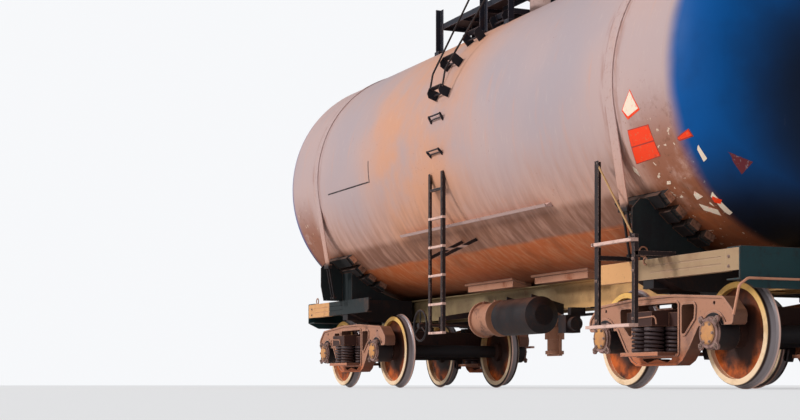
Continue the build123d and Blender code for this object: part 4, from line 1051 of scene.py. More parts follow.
class TANKCAR_OT_bogies(bpy.types.Operator):
    """Cast the bogies' side frames and axle boxes, with rims, windows, jaws and eared flanges"""

    bl_idname = "tankcar.bogies"
    bl_label = "Bogie castings"

    wheelbase_half = 0.925
    journal = 1.018
    half_thickness = 0.075
    spring_seat_half = 0.268
    jaw_radius = 0.185
    rim = 0.022
    recess = 0.014

    def execute(self, context):
        for end, way in ENDS:
            frames, boxes = bmesh.new(), bmesh.new()
            for side in (-1, 1):
                def place(across, up, depth, side=side, way=way):
                    return (way * PIVOT_X + across, side * depth, RAIL + up)
                self.side_frame(frames, place)
                for jaw in (-self.wheelbase_half, self.wheelbase_half):
                    self.axle_box(boxes, lambda across, up, depth, jaw=jaw, place=place:
                                  place(jaw + across, AXLE_HEIGHT - RAIL + up, depth))
            body = body_of("side_frames_" + end)
            keep("cast_frames_" + end, frames, body, "bogie_casting",
                 ["side_frames_" + end], 0.004, ["side_frames_" + end])
            keep("cast_boxes_" + end, boxes, body_of("axle_boxes_" + end), "box_casting",
                 ["axle_boxes_" + end], 0.003, ["axle_boxes_" + end])
        return {"FINISHED"}

    def side_frame(self, shape, place):
        """A flanged casting that arches over both axle boxes, with the spring window between."""
        jaw, axle = self.wheelbase_half, AXLE_HEIGHT - RAIL
        tip = 0.545
        open_turn = math.degrees(math.asin((tip - axle) / self.jaw_radius))
        right = [(0.345, 0.192, 0.04), (0.440, 0.235, 0.06), (0.551, 0.349, 0.08), (jaw - 0.225, tip, 0.02)]
        right += arc((jaw, axle), self.jaw_radius, 180 - open_turn, open_turn, 16)
        right += [(jaw + 0.297, tip, 0.04), (jaw + 0.313, 0.660, 0.08), (jaw + 0.150, 0.802, 0.11),
                  (0.300, 0.855, 0.30)]
        around = right + [(-corner[0], *corner[1:]) for corner in reversed(right)]
        window = [(-0.365, 0.300, 0.01), (0.365, 0.300, 0.01), (0.365, 0.776, 0.03), (-0.365, 0.776, 0.03)]
        dip = [(-0.284, 0.264, 0.008), (-0.170, 0.221, 0.02), (0, 0.256, 0.012), (0.170, 0.221, 0.02),
               (0.284, 0.264, 0.008)]
        loops = [(around, self.rim), (window, self.rim), (dip, 0)]
        for hand in (-1, 1):
            hole = [(0.473, 0.484, 0.015), (0.627, 0.622, 0.03), (0.638, 0.752, 0.03), (0.430, 0.752, 0.025),
                    (0.430, 0.484, 0.012)]
            if hand < 0:
                hole = [(-across, up, radius) for across, up, radius in reversed(hole)]
            loops.append((hole, self.rim))
            loops.append((arc((hand * jaw, axle + 0.272), 0.018, 0, 345, 15), 0))
        seat = [(-0.325, 0.282), (0.325, 0.282), (0.325, 0.318), (-0.325, 0.318)]
        for own, half, recess in ((loops, self.half_thickness, self.recess),
                                  ([(seat, 0)], self.spring_seat_half, 0.0)):
            add_plate(shape, own, self.journal - half, self.journal + half, place, recess)

    def axle_box(self, shape, place):
        """A round housing under its seat in the jaw, with an eared flange and a domed cover."""
        outer, inner, face = self.journal + 0.105, self.journal - 0.118, self.journal + 0.127
        hollow = [(outer - 0.007, 0.0), (outer - 0.007, 0.066), (self.journal - 0.089, 0.066),
                  (self.journal - 0.089, 0.089), (inner, 0.089)]
        body = [(inner, 0.144), (inner + 0.006, 0.150), (outer, 0.150), (outer, 0.0)]
        add_turned(shape, hollow + body, place)
        seat = [(-0.170, 0.072), (0.170, 0.072), (0.147, 0.112), (0.09, 0.112)]
        seat += arc((0, 0), 0.1845, 60.8, 119.2, 8) + [(-0.09, 0.112), (-0.147, 0.112)]
        add_plate(shape, [(seat, 0)], self.journal - self.half_thickness,
                  self.journal + self.half_thickness, place)
        ears, ear_reach, ear_half, ear_radius = [], 0.206, 0.027, 0.026
        for turn in EAR_TURNS:
            along = Vector((math.cos(math.radians(turn)), math.sin(math.radians(turn))))
            aside = Vector((-along.y, along.x))
            ears += [(*(along * ear_reach + aside * half), ear_radius) for half in (-ear_half, ear_half)]
            ears += arc((0, 0), 0.138, turn + 12.5, turn + 77.5, 8)
        add_plate(shape, [(ears, 0.011)], outer, face, place, 0.004)
        dome = [(face - 0.006, 0.0), (face - 0.006, 0.105), (face + 0.010, 0.105)]
        for share in (1.0, 0.8, 0.6, 0.4, 0.2):
            dome.append((face + 0.012 + 0.013 * (1 - share ** 2), 0.103 * share))
        add_turned(shape, dome + [(face + 0.025, 0.0)], place)


class TANKCAR_OT_saddles(bpy.types.Operator):
    """Weld the saddles and lay their timbers in troughs that follow the tank"""

    bl_idname = "tankcar.saddles"
    bl_label = "Saddles and timbers"

    timber_turns = (28.2, 34.8, 41.4, 48.0)
    timber_width = 0.118
    timber_depth = 0.070
    timber_length = 0.430
    trough_length = 0.370
    wall = 0.012
    plate = 0.014
    web_reach = 0.190
    rear_edge = 1.150

    def execute(self, context):
        for end, way in ENDS:
            saddle = bmesh.new()
            for side in (-1, 1):
                self.webs(saddle, way, side)
                for turn in self.timber_turns:
                    self.trough(saddle, way, side, turn)
            keep("welded_saddle_" + end, saddle, "car_body", "saddle_paint", ["saddle_" + end],
                 0.002)
        timbers = bmesh.new()
        for way, side in CORNERS:
            for order, turn in enumerate(self.timber_turns):
                self.timber(timbers, way, side, turn, order)
        keep("laid_timbers", timbers, "car_body", "timber", ["saddle_timbers"], 0.005)
        return {"FINISHED"}

    def bed(self):
        """How far the timbers' undersides lie from the tank's axis."""
        return TANK_RADIUS + 0.0003 + self.timber_depth

    def webs(self, shape, way, side):
        """An outer web that reaches out beyond the frame, an inner one, and the plates between."""
        reach = self.bed() + self.wall
        low = SILL_TOP - TANK_AXIS
        high = 0.025 - self.bed() * math.cos(math.radians(self.timber_turns[-1]))
        inner = math.sqrt(reach ** 2 - low ** 2)

        def under_tank(across, count):
            turns = [270 + math.degrees(math.asin(place / reach)) for place in (across, inner)]
            return arc((0, 0), reach, *turns, count)[:-1]
        outer = [(inner, low), (1.433, low), (1.473, low + 0.20, 0.04), (1.473, high - 0.09, 0.02),
                 (1.386, high, 0.02)] + under_tank(1.283, 12)
        rear = [(inner, low), (self.rear_edge, low)] + under_tank(self.rear_edge, 10)
        for corners, near, far in ((outer, self.web_reach - self.plate, self.web_reach),
                                   (rear, -self.web_reach, -self.web_reach + self.plate)):
            add_plate(shape, [(corners, 0)], near, far, lambda across, up, depth:
                      (way * (PIVOT_X + depth), side * across, TANK_AXIS + up))
        for y in (0.950, self.rear_edge - self.plate):
            top = -math.sqrt(reach ** 2 - y ** 2)
            x = sorted(way * (PIVOT_X + share * (self.web_reach - self.plate)) for share in (-1, 1))
            add_bar(shape, x, sorted((side * y, side * (y + self.plate))), (SILL_TOP, TANK_AXIS + top))

    def round_tank(self, way, side, turn):
        """Places across, below and along, turned about the tank's axis."""
        turn = math.radians(turn)

        def place(across, up, depth):
            y = across * math.cos(turn) - up * math.sin(turn)
            z = across * math.sin(turn) + up * math.cos(turn)
            return (way * (PIVOT_X + depth), side * y, TANK_AXIS + z)
        return place

    def trough(self, shape, way, side, turn):
        """A channel that holds a timber."""
        half, bed = self.timber_width / 2 + self.wall, -self.bed()
        low, lip = bed - self.wall - self.plate, bed + 0.026
        corners = [(-half, low), (half, low), (half, lip), (half - self.wall, lip), (half - self.wall, bed),
                   (-half + self.wall, bed), (-half + self.wall, lip), (-half, lip)]
        add_plate(shape, [(corners, 0)], -self.trough_length, self.trough_length,
                  self.round_tank(way, side, turn))

    def timber(self, shape, way, side, turn, order):
        """A sawn bearer; each is a little longer or shorter than the next."""
        half, low, high = self.timber_width / 2 - 0.001, -self.bed(), -self.bed() + self.timber_depth
        stray = (0.0, 0.006, -0.008, 0.004)[(order + (side > 0)) % 4]
        corners = [(-half, low), (half, low), (half, high), (-half, high)]
        add_plate(shape, [(corners, 0)], -self.timber_length - stray, self.timber_length + stray,
                  self.round_tank(way, side, turn))


class TANKCAR_OT_ends(bpy.types.Operator):
    """Weld the open end beams, the sills' ends, the end steps and the uncoupling levers"""

    bl_idname = "tankcar.ends"
    bl_label = "Car ends"

    plate = 0.014
    striker_depth = 0.110
    mouth = 0.190  # half the width of the coupler's opening
    stile_out = 1.560  # the end steps' inner faces, from the car's middle

    def execute(self, context):
        for end, way in ENDS:
            beam = bmesh.new()
            self.beam(beam, way)
            node = "end_beam_" + end
            keep("open_beam_" + end, beam, "car_body", "beam_paint", [node], 0.003, [node])
        sills, steps = bmesh.new(), bmesh.new()
        for way, side in CORNERS:
            self.sill_end(sills, way, side)
        for way in (-1, 1):
            self.step(steps, way)
        keep("sill_ends", sills, "car_body", "sill_paint", (), 0.002, ["side_sills"])
        keep("hung_steps", steps, "car_body", "end_step_paint", ["end_steps"], 0.002,
             ["end_steps"])
        paths = [[(way * x, way * y, RAIL + z) for x, y, z in self.lever_route()] for way in (-1, 1)]
        bar = bar_pattern("lever_bar", 0.024, 0.04, "lever_paint")
        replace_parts(grow_along("bent_levers", "car_body", bar, paths), "uncoupling_levers")
        return {"FINISHED"}

    def beam(self, shape, way):
        """A front plate with a coupler mouth and striker, and flanges behind it."""
        def upright(across, up, depth):
            return (way * depth, across, RAIL + up)
        tip, mouth = SIDE_Y, self.mouth
        front = [(-tip, 0.925, 0.02), (-tip + 0.16, 0.850, 0.04), (tip - 0.16, 0.850, 0.04),
                 (tip, 0.925, 0.02), (tip, 1.215, 0.02), (-tip, 1.215, 0.02)]
        hole = [(-mouth, 0.935), (mouth, 0.935), (mouth, 1.185), (-mouth, 1.185)]
        pipe = arc((way * 0.330, 1.075), 0.034, 0, 337.5, 15)
        add_plate(shape, [(front, 0), (hole, 0), (pipe, 0)], BEAM_X - self.plate, BEAM_X, upright)
        striker = [(-0.285, 0.87, 0.09), (0.285, 0.87, 0.09), (0.285, 1.25, 0.09), (-0.285, 1.25, 0.09)]
        add_plate(shape, [(striker, 0.02), (hole, 0)], BEAM_X, BEAM_X + self.striker_depth, upright, 0.004)
        x = sorted((way * (BEAM_X - BEAM_DEPTH), way * (BEAM_X - self.plate)))
        for side in (-1, 1):
            y = sorted((side * (mouth + self.plate), side * (tip - self.plate)))
            for z in (1.201, 0.925):
                add_bar(shape, x, y, (RAIL + z, RAIL + z + self.plate - 0.001))
            y = sorted((side * mouth, side * (mouth + self.plate)))
            add_bar(shape, x, y, (RAIL + 0.924, RAIL + 1.2145))

    def sill_end(self, shape, way, side):
        """The side sill's last stretch, from the frame's own sill to the front plate."""
        start, end = BEAM_X - BEAM_DEPTH - 0.002, BEAM_X - self.plate
        z = (RAIL + 1.005, SILL_TOP)
        x = sorted((way * start, way * end))
        add_bar(shape, x, sorted((side * (SIDE_Y - self.plate), side * SIDE_Y)), z)

    def step(self, shape, way):
        """A tall angle post, a short stile, two treads, a diagonal stay and arms on the sill."""
        near, bar, wall = self.stile_out, 0.045, 0.007

        def add(x, y, z):
            add_bar(shape, sorted(way * place for place in x), sorted(-way * place for place in y),
                    (RAIL + z[0], RAIL + z[1]))
        left, right = PIVOT_X - 0.335, PIVOT_X + 0.3725
        top = TANK_AXIS - RAIL - 0.700
        for outer, hand, wide, low, high in ((left, 1, 0.070, 0.580, top), (right, -1, bar, 0.545, 1.395)):
            thick, leg, front = outer + hand * wall, outer + hand * wide, near + wall
            angle = [(outer, front), (leg, front), (leg, near), (thick, near), (thick, front - wide),
                     (outer, front - wide)]
            add_plate(shape, [(angle, 0)], RAIL + low, RAIL + high,
                      lambda across, up, depth: (way * across, -way * up, depth))
        add((left, right), (near, near + bar), (1.330, 1.360))
        add((PIVOT_X - 0.410, right), (near, near + bar + 0.020), (0.545, 0.575))
        for place in (PIVOT_X - 0.300, PIVOT_X + 0.350):
            add((place - bar / 2, place + bar / 2), (SIDE_Y - 0.075, near), (1.200, 1.200 + bar))
        first = Vector((way * (PIVOT_X - 0.300), -way * near, RAIL + top - 0.020))
        last = Vector((way * (PIVOT_X + 0.350), -way * near, RAIL + 1.375))
        turn = (last - first).to_track_quat("Z", "Y").to_matrix()
        long = (last - first).length
        add_turned(shape, [(0, 0.0), (0, 0.010), (long, 0.010), (long, 0.0)],
                   lambda across, up, depth: first + turn @ Vector((across, up, depth)), 12)

    def lever_route(self):
        """The lever's handle hangs at the corner; its bar runs along the beam to the coupler."""
        x, bar = BEAM_X + 0.062, 0.930
        return ((x, -SIDE_Y - 0.11, bar - 0.318), (x, -SIDE_Y - 0.05, bar - 0.06), (x, -SIDE_Y + 0.04, bar),
                (x, -0.400, bar), (x, -0.400, 1.290), (x + 0.06, -0.130, 1.290))


class TANKCAR_OT_steps(bpy.types.Operator):
    """Weld the rungs and gusseted treads up both sides of the tank, and bend the rails beside them"""

    bl_idname = "tankcar.steps"
    bl_label = "Steps up the tank"

    half = 0.160
    rung_turns = (-4.6, 9.6)
    tread_turns = (19.5, 34.2, 49.2, 64.0)
    aside = 0.070

    def execute(self, context):
        shape = bmesh.new()
        for side in (-1, 1):
            for turn in self.rung_turns:
                self.rung(shape, self.out_from_tank(side, turn, self.aside))
            for order, turn in enumerate(self.tread_turns):
                self.tread(shape, self.out_from_tank(side, turn, 0 if order else self.aside))
        keep("welded_steps", shape, "car_body", "step_paint", ["tank_steps"], 0.0015)
        rails = bar_pattern("handrail_bar", 0.024, 0.06, "ladder_paint")
        paths = [self.rail(side, hand) for side, hand in CORNERS]
        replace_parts(grow_along("bent_rails", "car_body", rails, paths), "step_handrails")
        return {"FINISHED"}

    def out_from_tank(self, side, turn, aside=0.0):
        """Places out from the tank, up round it and along the car, from an angle above its widest line."""
        turn = math.radians(turn)

        def place(out, up, along):
            reach = TANK_RADIUS + out
            y = reach * math.cos(turn) - up * math.sin(turn)
            return (along - side * aside, side * y, TANK_AXIS + reach * math.sin(turn) + up * math.cos(turn))
        return place

    def rung(self, shape, place):
        """Two round bars between a pair of legs that rise from the tank."""
        leg = [(-0.004, -0.056), (0.012, -0.056), (0.062, 0.006), (0.062, 0.030), (0.044, 0.030),
               (-0.004, -0.028)]
        for hand in (-1, 1):
            near, far = sorted((hand * self.half, hand * (self.half - 0.010)))
            add_plate(shape, [(leg, 0)], near, far, place)
        reach = self.half - 0.005
        for spot, radius in (((0.052, 0.018), 0.010), ((0.024, -0.018), 0.008)):
            add_plate(shape, [(arc(spot, radius, 0, 330, 11), 0)], -reach, reach, place)

    def tread(self, shape, place):
        """A flat tread and a round bar between two cropped gusset plates."""
        gusset = [(-0.004, -0.0575), (0.108, -0.0575), (0.140, -0.015), (0.140, 0.0575), (-0.004, 0.0575)]
        for hand in (-1, 1):
            near, far = sorted((hand * self.half, hand * (self.half - 0.008)))
            add_plate(shape, [(gusset, 0)], near, far, place)
        tread = [(0.079, 0.046), (0.139, 0.046), (0.139, 0.0565), (0.079, 0.0565)]
        for corners in (tread, arc((0.045, 0.0), 0.011, 0, 330, 11)):
            add_plate(shape, [(corners, 0)], 0.004 - self.half, self.half - 0.004, place)

    def rail(self, side, hand):
        """From the lowest tread's gusset up to the platform's inner post."""
        lowest = self.out_from_tank(side, self.tread_turns[0], self.aside)
        foot = lowest(0.112, 0.035, hand * (self.half + 0.011))
        top = corner("platform_posts", 1, 2)
        return [foot, (foot[0], side * 1.575, TANK_AXIS + 0.805), (hand * 0.335, side * 0.845, top - 0.14),
                (hand * 0.335, side * 0.845, top - 0.02)]


class TANKCAR_OT_springs(bpy.types.Operator):
    """Wind the bogies' coil springs, an outer and an inner coil on each seat"""

    bl_idname = "tankcar.springs"
    bl_label = "Springs"

    radius = 0.095
    outer_turns = 5.6
    inner_turns = 9.0
    inner_share = 0.56
    inner_edge = 0.758  # of the spring set, from the car's middle
    places = ((-0.22, 0.0), (0.0, 0.0), (0.22, 0.0), (-0.11, -0.165), (-0.11, 0.165), (0.11, -0.165),
              (0.11, 0.165))

    def execute(self, context):
        for end, way in ENDS:
            node = "springs_" + end
            low, high = corner(node, 0, 2), corner(node, 1, 2)
            journal = (corner(node, 1, 1) + self.inner_edge) / 2
            points = [(way * PIVOT_X + x, side * journal + y, low)
                      for side in (-1, 1) for x, y in self.places]
            facings = [(0.0, 0.0, 1.0)] * len(points)
            outer = spring_pattern("outer_spring_" + end, self.radius, sizes().spring_wire, high - low,
                                   self.outer_turns)
            inner = spring_pattern("inner_spring_" + end, self.radius * self.inner_share,
                                   sizes().inner_wire, high - low, self.inner_turns, True)
            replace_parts(grow("coil_springs_" + end, body_of(node), outer, points, facings),
                        node)
            grow("inner_springs_" + end, body_of(node), inner, points, facings)
        return {"FINISHED"}


class TANKCAR_OT_bolts(bpy.types.Operator):
    """Set the bolts of axle boxes, end steps, sills, end beams, anchor brackets and the hatch"""

    bl_idname = "tankcar.bolts"
    bl_label = "Bolts"

    small_share = 0.6
    ear_reach = 0.158
    cover_reach = 0.088

    def execute(self, context):
        wide, high = sizes().bolt_width, sizes().bolt_height
        large = bolt_pattern("large_bolt", wide, high)
        small = bolt_pattern("small_bolt", wide * self.small_share, high * self.small_share)
        add_bolts("box_bolts", large, self.round_boxes(self.ear_reach, EAR_TURNS))
        add_bolts("cover_bolts", small, self.round_boxes(self.cover_reach, range(0, 360, 60)))
        add_bolts("frame_bolts", small, self.steps() + self.sills())
        add_bolts("flange_bolts", large, self.beams() + self.brackets())
        add_bolts("lid_bolts", small, self.lids())
        return {"FINISHED"}

    def round_boxes(self, reach, turns):
        """Round the middle of each axle box: on its ears, or round its cover."""
        aims = []
        for x, side in JOURNALS:
            node = "axle_boxes_a" if x > 0 else "axle_boxes_b"
            for turn in map(math.radians, turns):
                spot = (x + reach * math.cos(turn), side * 1.5, AXLE_HEIGHT + reach * math.sin(turn))
                aims.append((node, spot, (0, -side, 0)))
        return aims

    def steps(self):
        """Where the end steps' stiles and posts are held."""
        aims = []
        for side in (-1, 1):
            for along, heights in ((0.35, (1.17, 1.06, 1.36, 0.62)), (-0.30, (0.62, 1.0, 1.345))):
                aims += [("end_steps", (-side * (PIVOT_X + along), side * 2.0, RAIL + z), (0, -side, 0))
                         for z in heights]
        return aims

    def sills(self):
        """Small heads at the outer ends of the side sills."""
        return [("side_sills", (way * (BEAM_X - 0.16), side * 1.6, RAIL + z), (0, -side, 0))
                for way, side in CORNERS for z in (1.045, 1.13)]

    def beams(self):
        """Round each coupler's striker."""
        return [("end_beam_a" if way > 0 else "end_beam_b", (way * 6.4, y, RAIL + z), (-way, 0, 0))
                for way in (-1, 1) for y in (-0.245, 0.245) for z in (0.92, 1.06, 1.20)]

    def brackets(self):
        """Along the outer feet of the anchor brackets."""
        return [("anchor_brackets", (way * x, side * 0.435, 3.0), (0, 0, -1))
                for way, side in CORNERS for x in (0.34, 0.60, 0.86, 1.12, 1.38)]

    def lids(self):
        """Clamp nuts round the hatch lid."""
        reach = HATCH_RADIUS - 0.024
        return [("hatch_lid", (reach * math.cos(turn), reach * math.sin(turn), 6.0), (0, 0, -1))
                for turn in (math.radians(15 + 30 * step) for step in range(12))]


class TANKCAR_OT_seams(bpy.types.Operator):
    """Lay the weld beads of the tank"""

    bl_idname = "tankcar.seams"
    bl_label = "Weld seams"

    sunk = 0.004
    half_steps = 24

    def execute(self, context):
        radius = TANK_RADIUS - self.sunk
        rings = [ring((end * BARREL_END, 0, TANK_AXIS), radius, (0, 1, 0), (0, 0, 1), 120)
                 for end in (-1, 1)]
        height = BELLY_LINE - 0.03
        out = math.sqrt(radius ** 2 - (height - TANK_AXIS) ** 2)
        along = [[(-BARREL_END + BARREL_END * step / self.half_steps, side * out, height)
                  for step in range(2 * self.half_steps + 1)] for side in (-1, 1)]
        for name, finish, paths in (("ring_seams", "head_paint", rings),
                                    ("long_seams", "tank_paint", along)):
            grow_along(name, "car_body", seam_pattern(name, sizes().seam_width, finish), paths)
        return {"FINISHED"}


class TANKCAR_OT_labels(bpy.types.Operator):
    """Stick the blank labels on the tank and paint its bare number frame"""

    bl_idname = "tankcar.labels"
    bl_label = "Blank labels"

    label_cells = 8
    rule_cells = 10
    # name, finish, layers of lift, corners in the frame's axes with their heights above the rail
    stickers = (
        ("diamond_edge", "label_orange", 1, ((4.255, -1.604, 2.716), (4.082, -1.581, 2.551),
                                             (4.154, -1.561, 2.457), (4.378, -1.574, 2.514))),
        ("diamond_face", "label_white", 2, ((4.253, -1.604, 2.702), (4.098, -1.581, 2.554),
                                            (4.170, -1.561, 2.486), (4.355, -1.574, 2.530))),
        ("plate_back", "label_red", 1, ((4.108, -1.535, 2.370), (4.060, -1.410, 2.066),
                                        (4.484, -1.420, 2.084), (4.462, -1.536, 2.371))),
        ("plate_upper", "label_orange", 2, ((4.115, -1.535, 2.362), (4.094, -1.479, 2.222),
                                            (4.471, -1.483, 2.230), (4.454, -1.536, 2.363))),
        ("plate_lower", "label_orange", 2, ((4.094, -1.479, 2.208), (4.071, -1.410, 2.074),
                                            (4.472, -1.420, 2.091), (4.471, -1.483, 2.216))),
        ("strip_back", "label_red", 1, ((4.805, -1.452, 2.207), (4.840, -1.426, 2.180),
                                        (4.978, -1.359, 2.216), (4.959, -1.402, 2.281))),
        ("strip_face", "label_orange", 2, ((4.828, -1.443, 2.207), (4.845, -1.430, 2.193),
                                           (4.966, -1.372, 2.223), (4.953, -1.402, 2.270))),
        ("white_sliver", "label_white", 1, ((4.984, -1.321, 2.147), (4.964, -1.317, 2.109),
                                            (4.966, -1.252, 2.009), (5.000, -1.240, 2.038))),
        ("torn_red", "label_torn", 1, ((5.097, -1.118, 2.092), (5.095, -1.057, 2.010),
                                       (5.092, -0.976, 1.920), (5.144, -0.934, 2.001))),
        ("torn_cream_a", "label_white", 1, ((4.880, -1.114, 1.759), (4.738, -1.064, 1.652),
                                            (4.844, -0.908, 1.564), (4.890, -0.908, 1.589))),
        ("torn_cream_b", "label_white", 1, ((4.591, -1.082, 1.658), (4.581, -1.020, 1.605),
                                            (4.737, -0.933, 1.547), (4.768, -0.991, 1.598))),
        ("torn_orange", "label_orange", 2, ((4.850, -1.093, 1.722), (4.794, -1.071, 1.675),
                                            (4.864, -1.016, 1.658), (4.905, -1.027, 1.695))),
        ("pale_scrap_a", "label_white", 1, ((4.671, -1.184, 1.760), (4.625, -1.159, 1.733),
                                            (4.612, -1.114, 1.688), (4.730, -1.127, 1.710))),
        ("pale_scrap_b", "label_white", 1, ((4.378, -1.283, 1.878), (4.348, -1.263, 1.853),
                                            (4.410, -1.261, 1.849), (4.430, -1.281, 1.875))),
        ("pale_scrap_c", "label_white", 1, ((3.982, -1.402, 2.060), (3.967, -1.375, 2.013),
                                            (4.019, -1.342, 1.961), (4.023, -1.381, 2.024))),
    )

    # name, from x, to x, lower and upper height above the rail
    rules = (("number_rule", -3.48, -2.03, 2.612, 2.630), ("number_bar", -2.018, -1.998, 2.612, 2.890))

    def execute(self, context):
        for name, finish, layer, corners in self.stickers:
            self.stick(name, finish, layer, [Vector((x, y, z + RAIL)) for x, y, z in corners],
                       self.label_cells)
        for name, left, right, low, high in self.rules:
            corners = [Vector((x, -math.sqrt(TANK_RADIUS ** 2 - (z + RAIL - TANK_AXIS) ** 2), z + RAIL))
                       for x, z in ((left, high), (left, low), (right, low), (right, high))]
            self.stick(name, "rule_paint", 1, corners, self.rule_cells)
        return {"FINISHED"}

    def nearest(self, spot):
        """The nearest place on the tank's barrel or its near head, and the way that it faces."""
        found = [skin(node).find_nearest(spot) for node in ("tank_barrel", "tank_head_a")]
        place, facing, index, far = min(found, key=lambda item: item[3])
        if facing.dot(place - Vector((place.x, 0, TANK_AXIS))) < 0:
            facing = -facing
        return place, facing

    def stick(self, name, finish, layer, corners, cells):
        """A thin patch between four corners, laid on the tank."""
        shape = bmesh.new()
        sheets = []
        for lift in (sizes().label_lift * layer, -sizes().label_lift):
            sheet = {}
            for row in range(cells + 1):
                for column in range(cells + 1):
                    left = corners[0].lerp(corners[1], row / cells)
                    right = corners[3].lerp(corners[2], row / cells)
                    place, facing = self.nearest(left.lerp(right, column / cells))
                    sheet[row, column] = shape.verts.new(place + facing * lift)
            sheets.append(sheet)
        top, bottom = sheets
        for row in range(cells):
            for column in range(cells):
                steps = ((row, column), (row + 1, column), (row + 1, column + 1), (row, column + 1))
                shape.faces.new([top[step] for step in steps])
                shape.faces.new([bottom[step] for step in reversed(steps)])
        rim = [(0, step) for step in range(cells)] + [(step, cells) for step in range(cells)]
        rim += [(cells - row, cells - column) for row, column in rim]
        for first, second in zip(rim, rim[1:] + rim[:1]):
            shape.faces.new([top[first], top[second], bottom[second], bottom[first]])
        keep(name, shape, "car_body", finish)


class TANKCAR_OT_bars(bpy.types.Operator):
    """Bend the small bars: lifting eyes, hooks and bolster handles"""

    bl_idname = "tankcar.bars"
    bl_label = "Small bars"

    def execute(self, context):
        thin = bar_pattern("thin_bar", 0.016, 0.03, "bracket_paint")
        self.eyes(thin)
        self.handles(thin)
        return {"FINISHED"}

    def eyes(self, pattern):
        """Lifting eyes on the saddles' webs and the sills, and an open hook on each sill."""
        paths = []
        whole, hooked = slice(None), slice(2, 17)
        for way in (-1, 1):
            for (x, y, z), radius, across, part in (
                    ((PIVOT_X + 0.201, -1.36, SILL_TOP + 0.050), 0.046, (0, 1, 0), whole),
                    ((-5.0, 0.012 - SIDE_Y, SILL_TOP + 0.040), 0.042, (1, 0, 0), whole),
                    ((PIVOT_X - 0.02, -SIDE_Y - 0.006, RAIL + 1.185), 0.034, (way, 0, 0), hooked)):
                paths.append(ring((way * x, way * y, z), radius, across, (0, 0, 1), 20)[part])
        grow_along("lifting_eyes", "car_body", pattern, paths)

    def handles(self, pattern):
        """A bent bar on each end of the bogie bolsters."""
        spots = ((-0.077, 0.575), (-0.060, 0.640), (0.280, 0.650), (0.300, 0.575))
        for end, way in ENDS:
            node = "bogie_bolster_" + end
            out = corner(node, 1, 1) + 0.004
            paths = [[(way * (PIVOT_X + x), side * out, RAIL + z) for x, z in spots] for side in (-1, 1)]
            grow_along("bolster_handles_" + end, body_of(node), pattern, paths)


class TANKCAR_OT_tread(bpy.types.Operator):
    """Raise the lozenges of the platform's tread plates"""

    bl_idname = "tankcar.tread"
    bl_label = "Deck tread"

    pitch = 0.062
    margin = 0.04

    def execute(self, context):
        long = corner("platform_deck", 1, 0) - self.margin
        wide = corner("platform_deck", 1, 1) - self.margin
        points, facings = [], []
        for row in range(int(2 * wide / self.pitch) + 1):
            for column in range(int(2 * long / self.pitch) + 1):
                x = -long + column * self.pitch
                y = -wide + row * self.pitch
                place, facing, index, far = skin("platform_deck").ray_cast(Vector((x, y, DECK_TOP + 0.2)),
                                                                           Vector((0, 0, -1)))
                if place is not None and abs(place.z - DECK_TOP) < 0.02:
                    points.append(place)
                    facings.append((1.0, 1.0 if (row + column) % 2 else -1.0, 0.0))
        grow("deck_tread", "car_body", tread_pattern("lozenges", sizes().lozenge), points,
             facings)
        return {"FINISHED"}


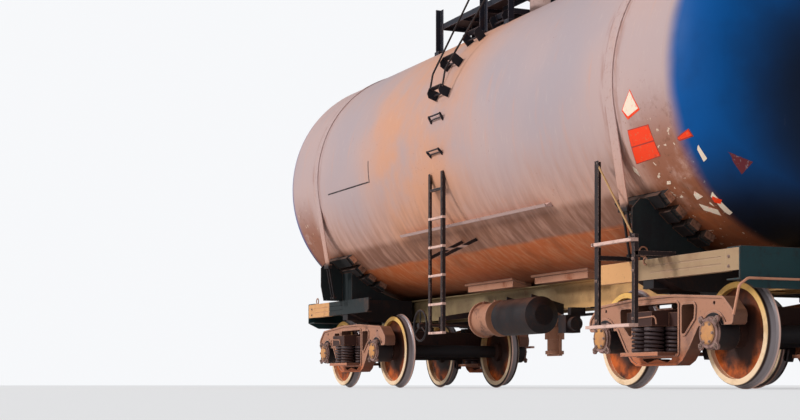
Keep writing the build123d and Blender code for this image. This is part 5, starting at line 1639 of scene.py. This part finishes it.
class TANKCAR_OT_stage(bpy.types.Operator):
    """Set the floor, the lamps, the world and the camera"""

    bl_idname = "tankcar.stage"
    bl_label = "Stage"

    floor_half = 90.0
    # The camera as it was fitted to the photograph
    lens = 69.76
    shift = 0.2185
    camera_spot = (16.4147, -9.2156, 0.04)
    camera_turn = 66.3853

    def execute(self, context):
        self.floor()
        self.world()
        self.lamp("key_light", (-0.30, -0.80, 0.42), 1.9, math.radians(12))
        self.lamp("fill_light", (0.45, -0.80, 0.15), 0.5, math.radians(40))
        self.camera()
        context.scene.view_settings.view_transform = "Standard"
        return {"FINISHED"}

    def floor(self):
        """A wide pale floor that shows white to the camera."""
        mesh = bpy.data.meshes.new("floor")
        half = self.floor_half
        mesh.from_pydata([(-half, -half, 0), (half, -half, 0), (half, half, 0), (-half, half, 0)], [],
                         [(0, 1, 2, 3)])
        floor = linked("floor", mesh)
        finish = Finish("floor_pale")
        matte = finish.out("ShaderNodeBsdfPrincipled", {},
                           {"Base Color": (0.80, 0.79, 0.78), "Roughness": 0.85})
        glow = finish.out("ShaderNodeEmission", {}, {"Color": NEAR_WHITE, "Strength": 1.0})
        seen = finish.number("ShaderNodeLightPath", output="Is Camera Ray")
        both = finish.out("ShaderNodeMixShader", {}, {0: seen * 0.5, 1: matte, 2: glow})
        finish.node("ShaderNodeOutputMaterial", {}, {"Surface": both})
        mesh.materials.append(finish.material)

    def world(self):
        """An even world, near white where it is seen straight or through clear things."""
        world = bpy.data.worlds.new("studio")
        bpy.context.scene.world = world
        world.use_nodes = True
        tree = Tree(world.node_tree)
        path = tree.node("ShaderNodeLightPath").outputs
        straight = Number(tree, path["Is Camera Ray"]).most(path["Is Transmission Ray"])
        light = tree.out("ShaderNodeBackground", {}, {"Color": (0.96, 0.97, 1.0), "Strength": 0.45})
        seen = tree.out("ShaderNodeBackground", {}, {"Color": NEAR_WHITE, "Strength": 1.0})
        both = tree.out("ShaderNodeMixShader", {}, {0: straight, 1: light, 2: seen})
        tree.node("ShaderNodeOutputWorld", {}, {"Surface": both})

    def lamp(self, name, towards, strength, softness):
        """A sun lamp that shines from a direction."""
        data = bpy.data.lights.new(name, "SUN")
        data.energy = strength
        data.angle = softness
        linked(name, data).rotation_euler = Vector(towards).to_track_quat("Z", "Y").to_euler()

    def camera(self):
        """The photograph's view, from the floor beside end a."""
        data = bpy.data.cameras.new("camera")
        data.sensor_width = 36.0
        data.lens = self.lens
        data.shift_y = self.shift
        data.clip_end = 200.0
        camera = linked("camera", data)
        camera.location = self.camera_spot
        camera.rotation_euler = (math.radians(90), 0, math.radians(self.camera_turn))
        bpy.context.scene.camera = camera


class TANKCAR_PT_panel(bpy.types.Panel):
    """Lists the steps that dress the tank car"""

    bl_idname = "TANKCAR_PT_panel"
    bl_label = "Tank car"
    bl_space_type = "VIEW_3D"
    bl_region_type = "UI"
    bl_category = "Tank car"

    def draw(self, context):
        for operator in STEPS:
            self.layout.operator(operator.bl_idname)


STEPS = (TANKCAR_OT_stage, TANKCAR_OT_finishes, TANKCAR_OT_bogies, TANKCAR_OT_saddles, TANKCAR_OT_ends,
         TANKCAR_OT_steps, TANKCAR_OT_springs, TANKCAR_OT_bolts, TANKCAR_OT_seams, TANKCAR_OT_labels,
         TANKCAR_OT_bars, TANKCAR_OT_tread)
CLASSES = (TankCarColours, TankCarSizes, *STEPS, TANKCAR_PT_panel)


def register():
    """Register the classes and the scene's properties."""
    for item in CLASSES:
        bpy.utils.register_class(item)
    bpy.types.Scene.tank_car_colours = bpy.props.PointerProperty(type=TankCarColours)
    bpy.types.Scene.tank_car_sizes = bpy.props.PointerProperty(type=TankCarSizes)


def unregister():
    """Undo register."""
    del bpy.types.Scene.tank_car_sizes
    del bpy.types.Scene.tank_car_colours
    for item in reversed(CLASSES):
        bpy.utils.unregister_class(item)


def main():
    """Dress the frame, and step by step."""
    register()
    for step in STEPS:
        group, name = step.bl_idname.split(".")
        getattr(getattr(bpy.ops, group), name)()
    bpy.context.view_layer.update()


if __name__ == "__main__":
    main()
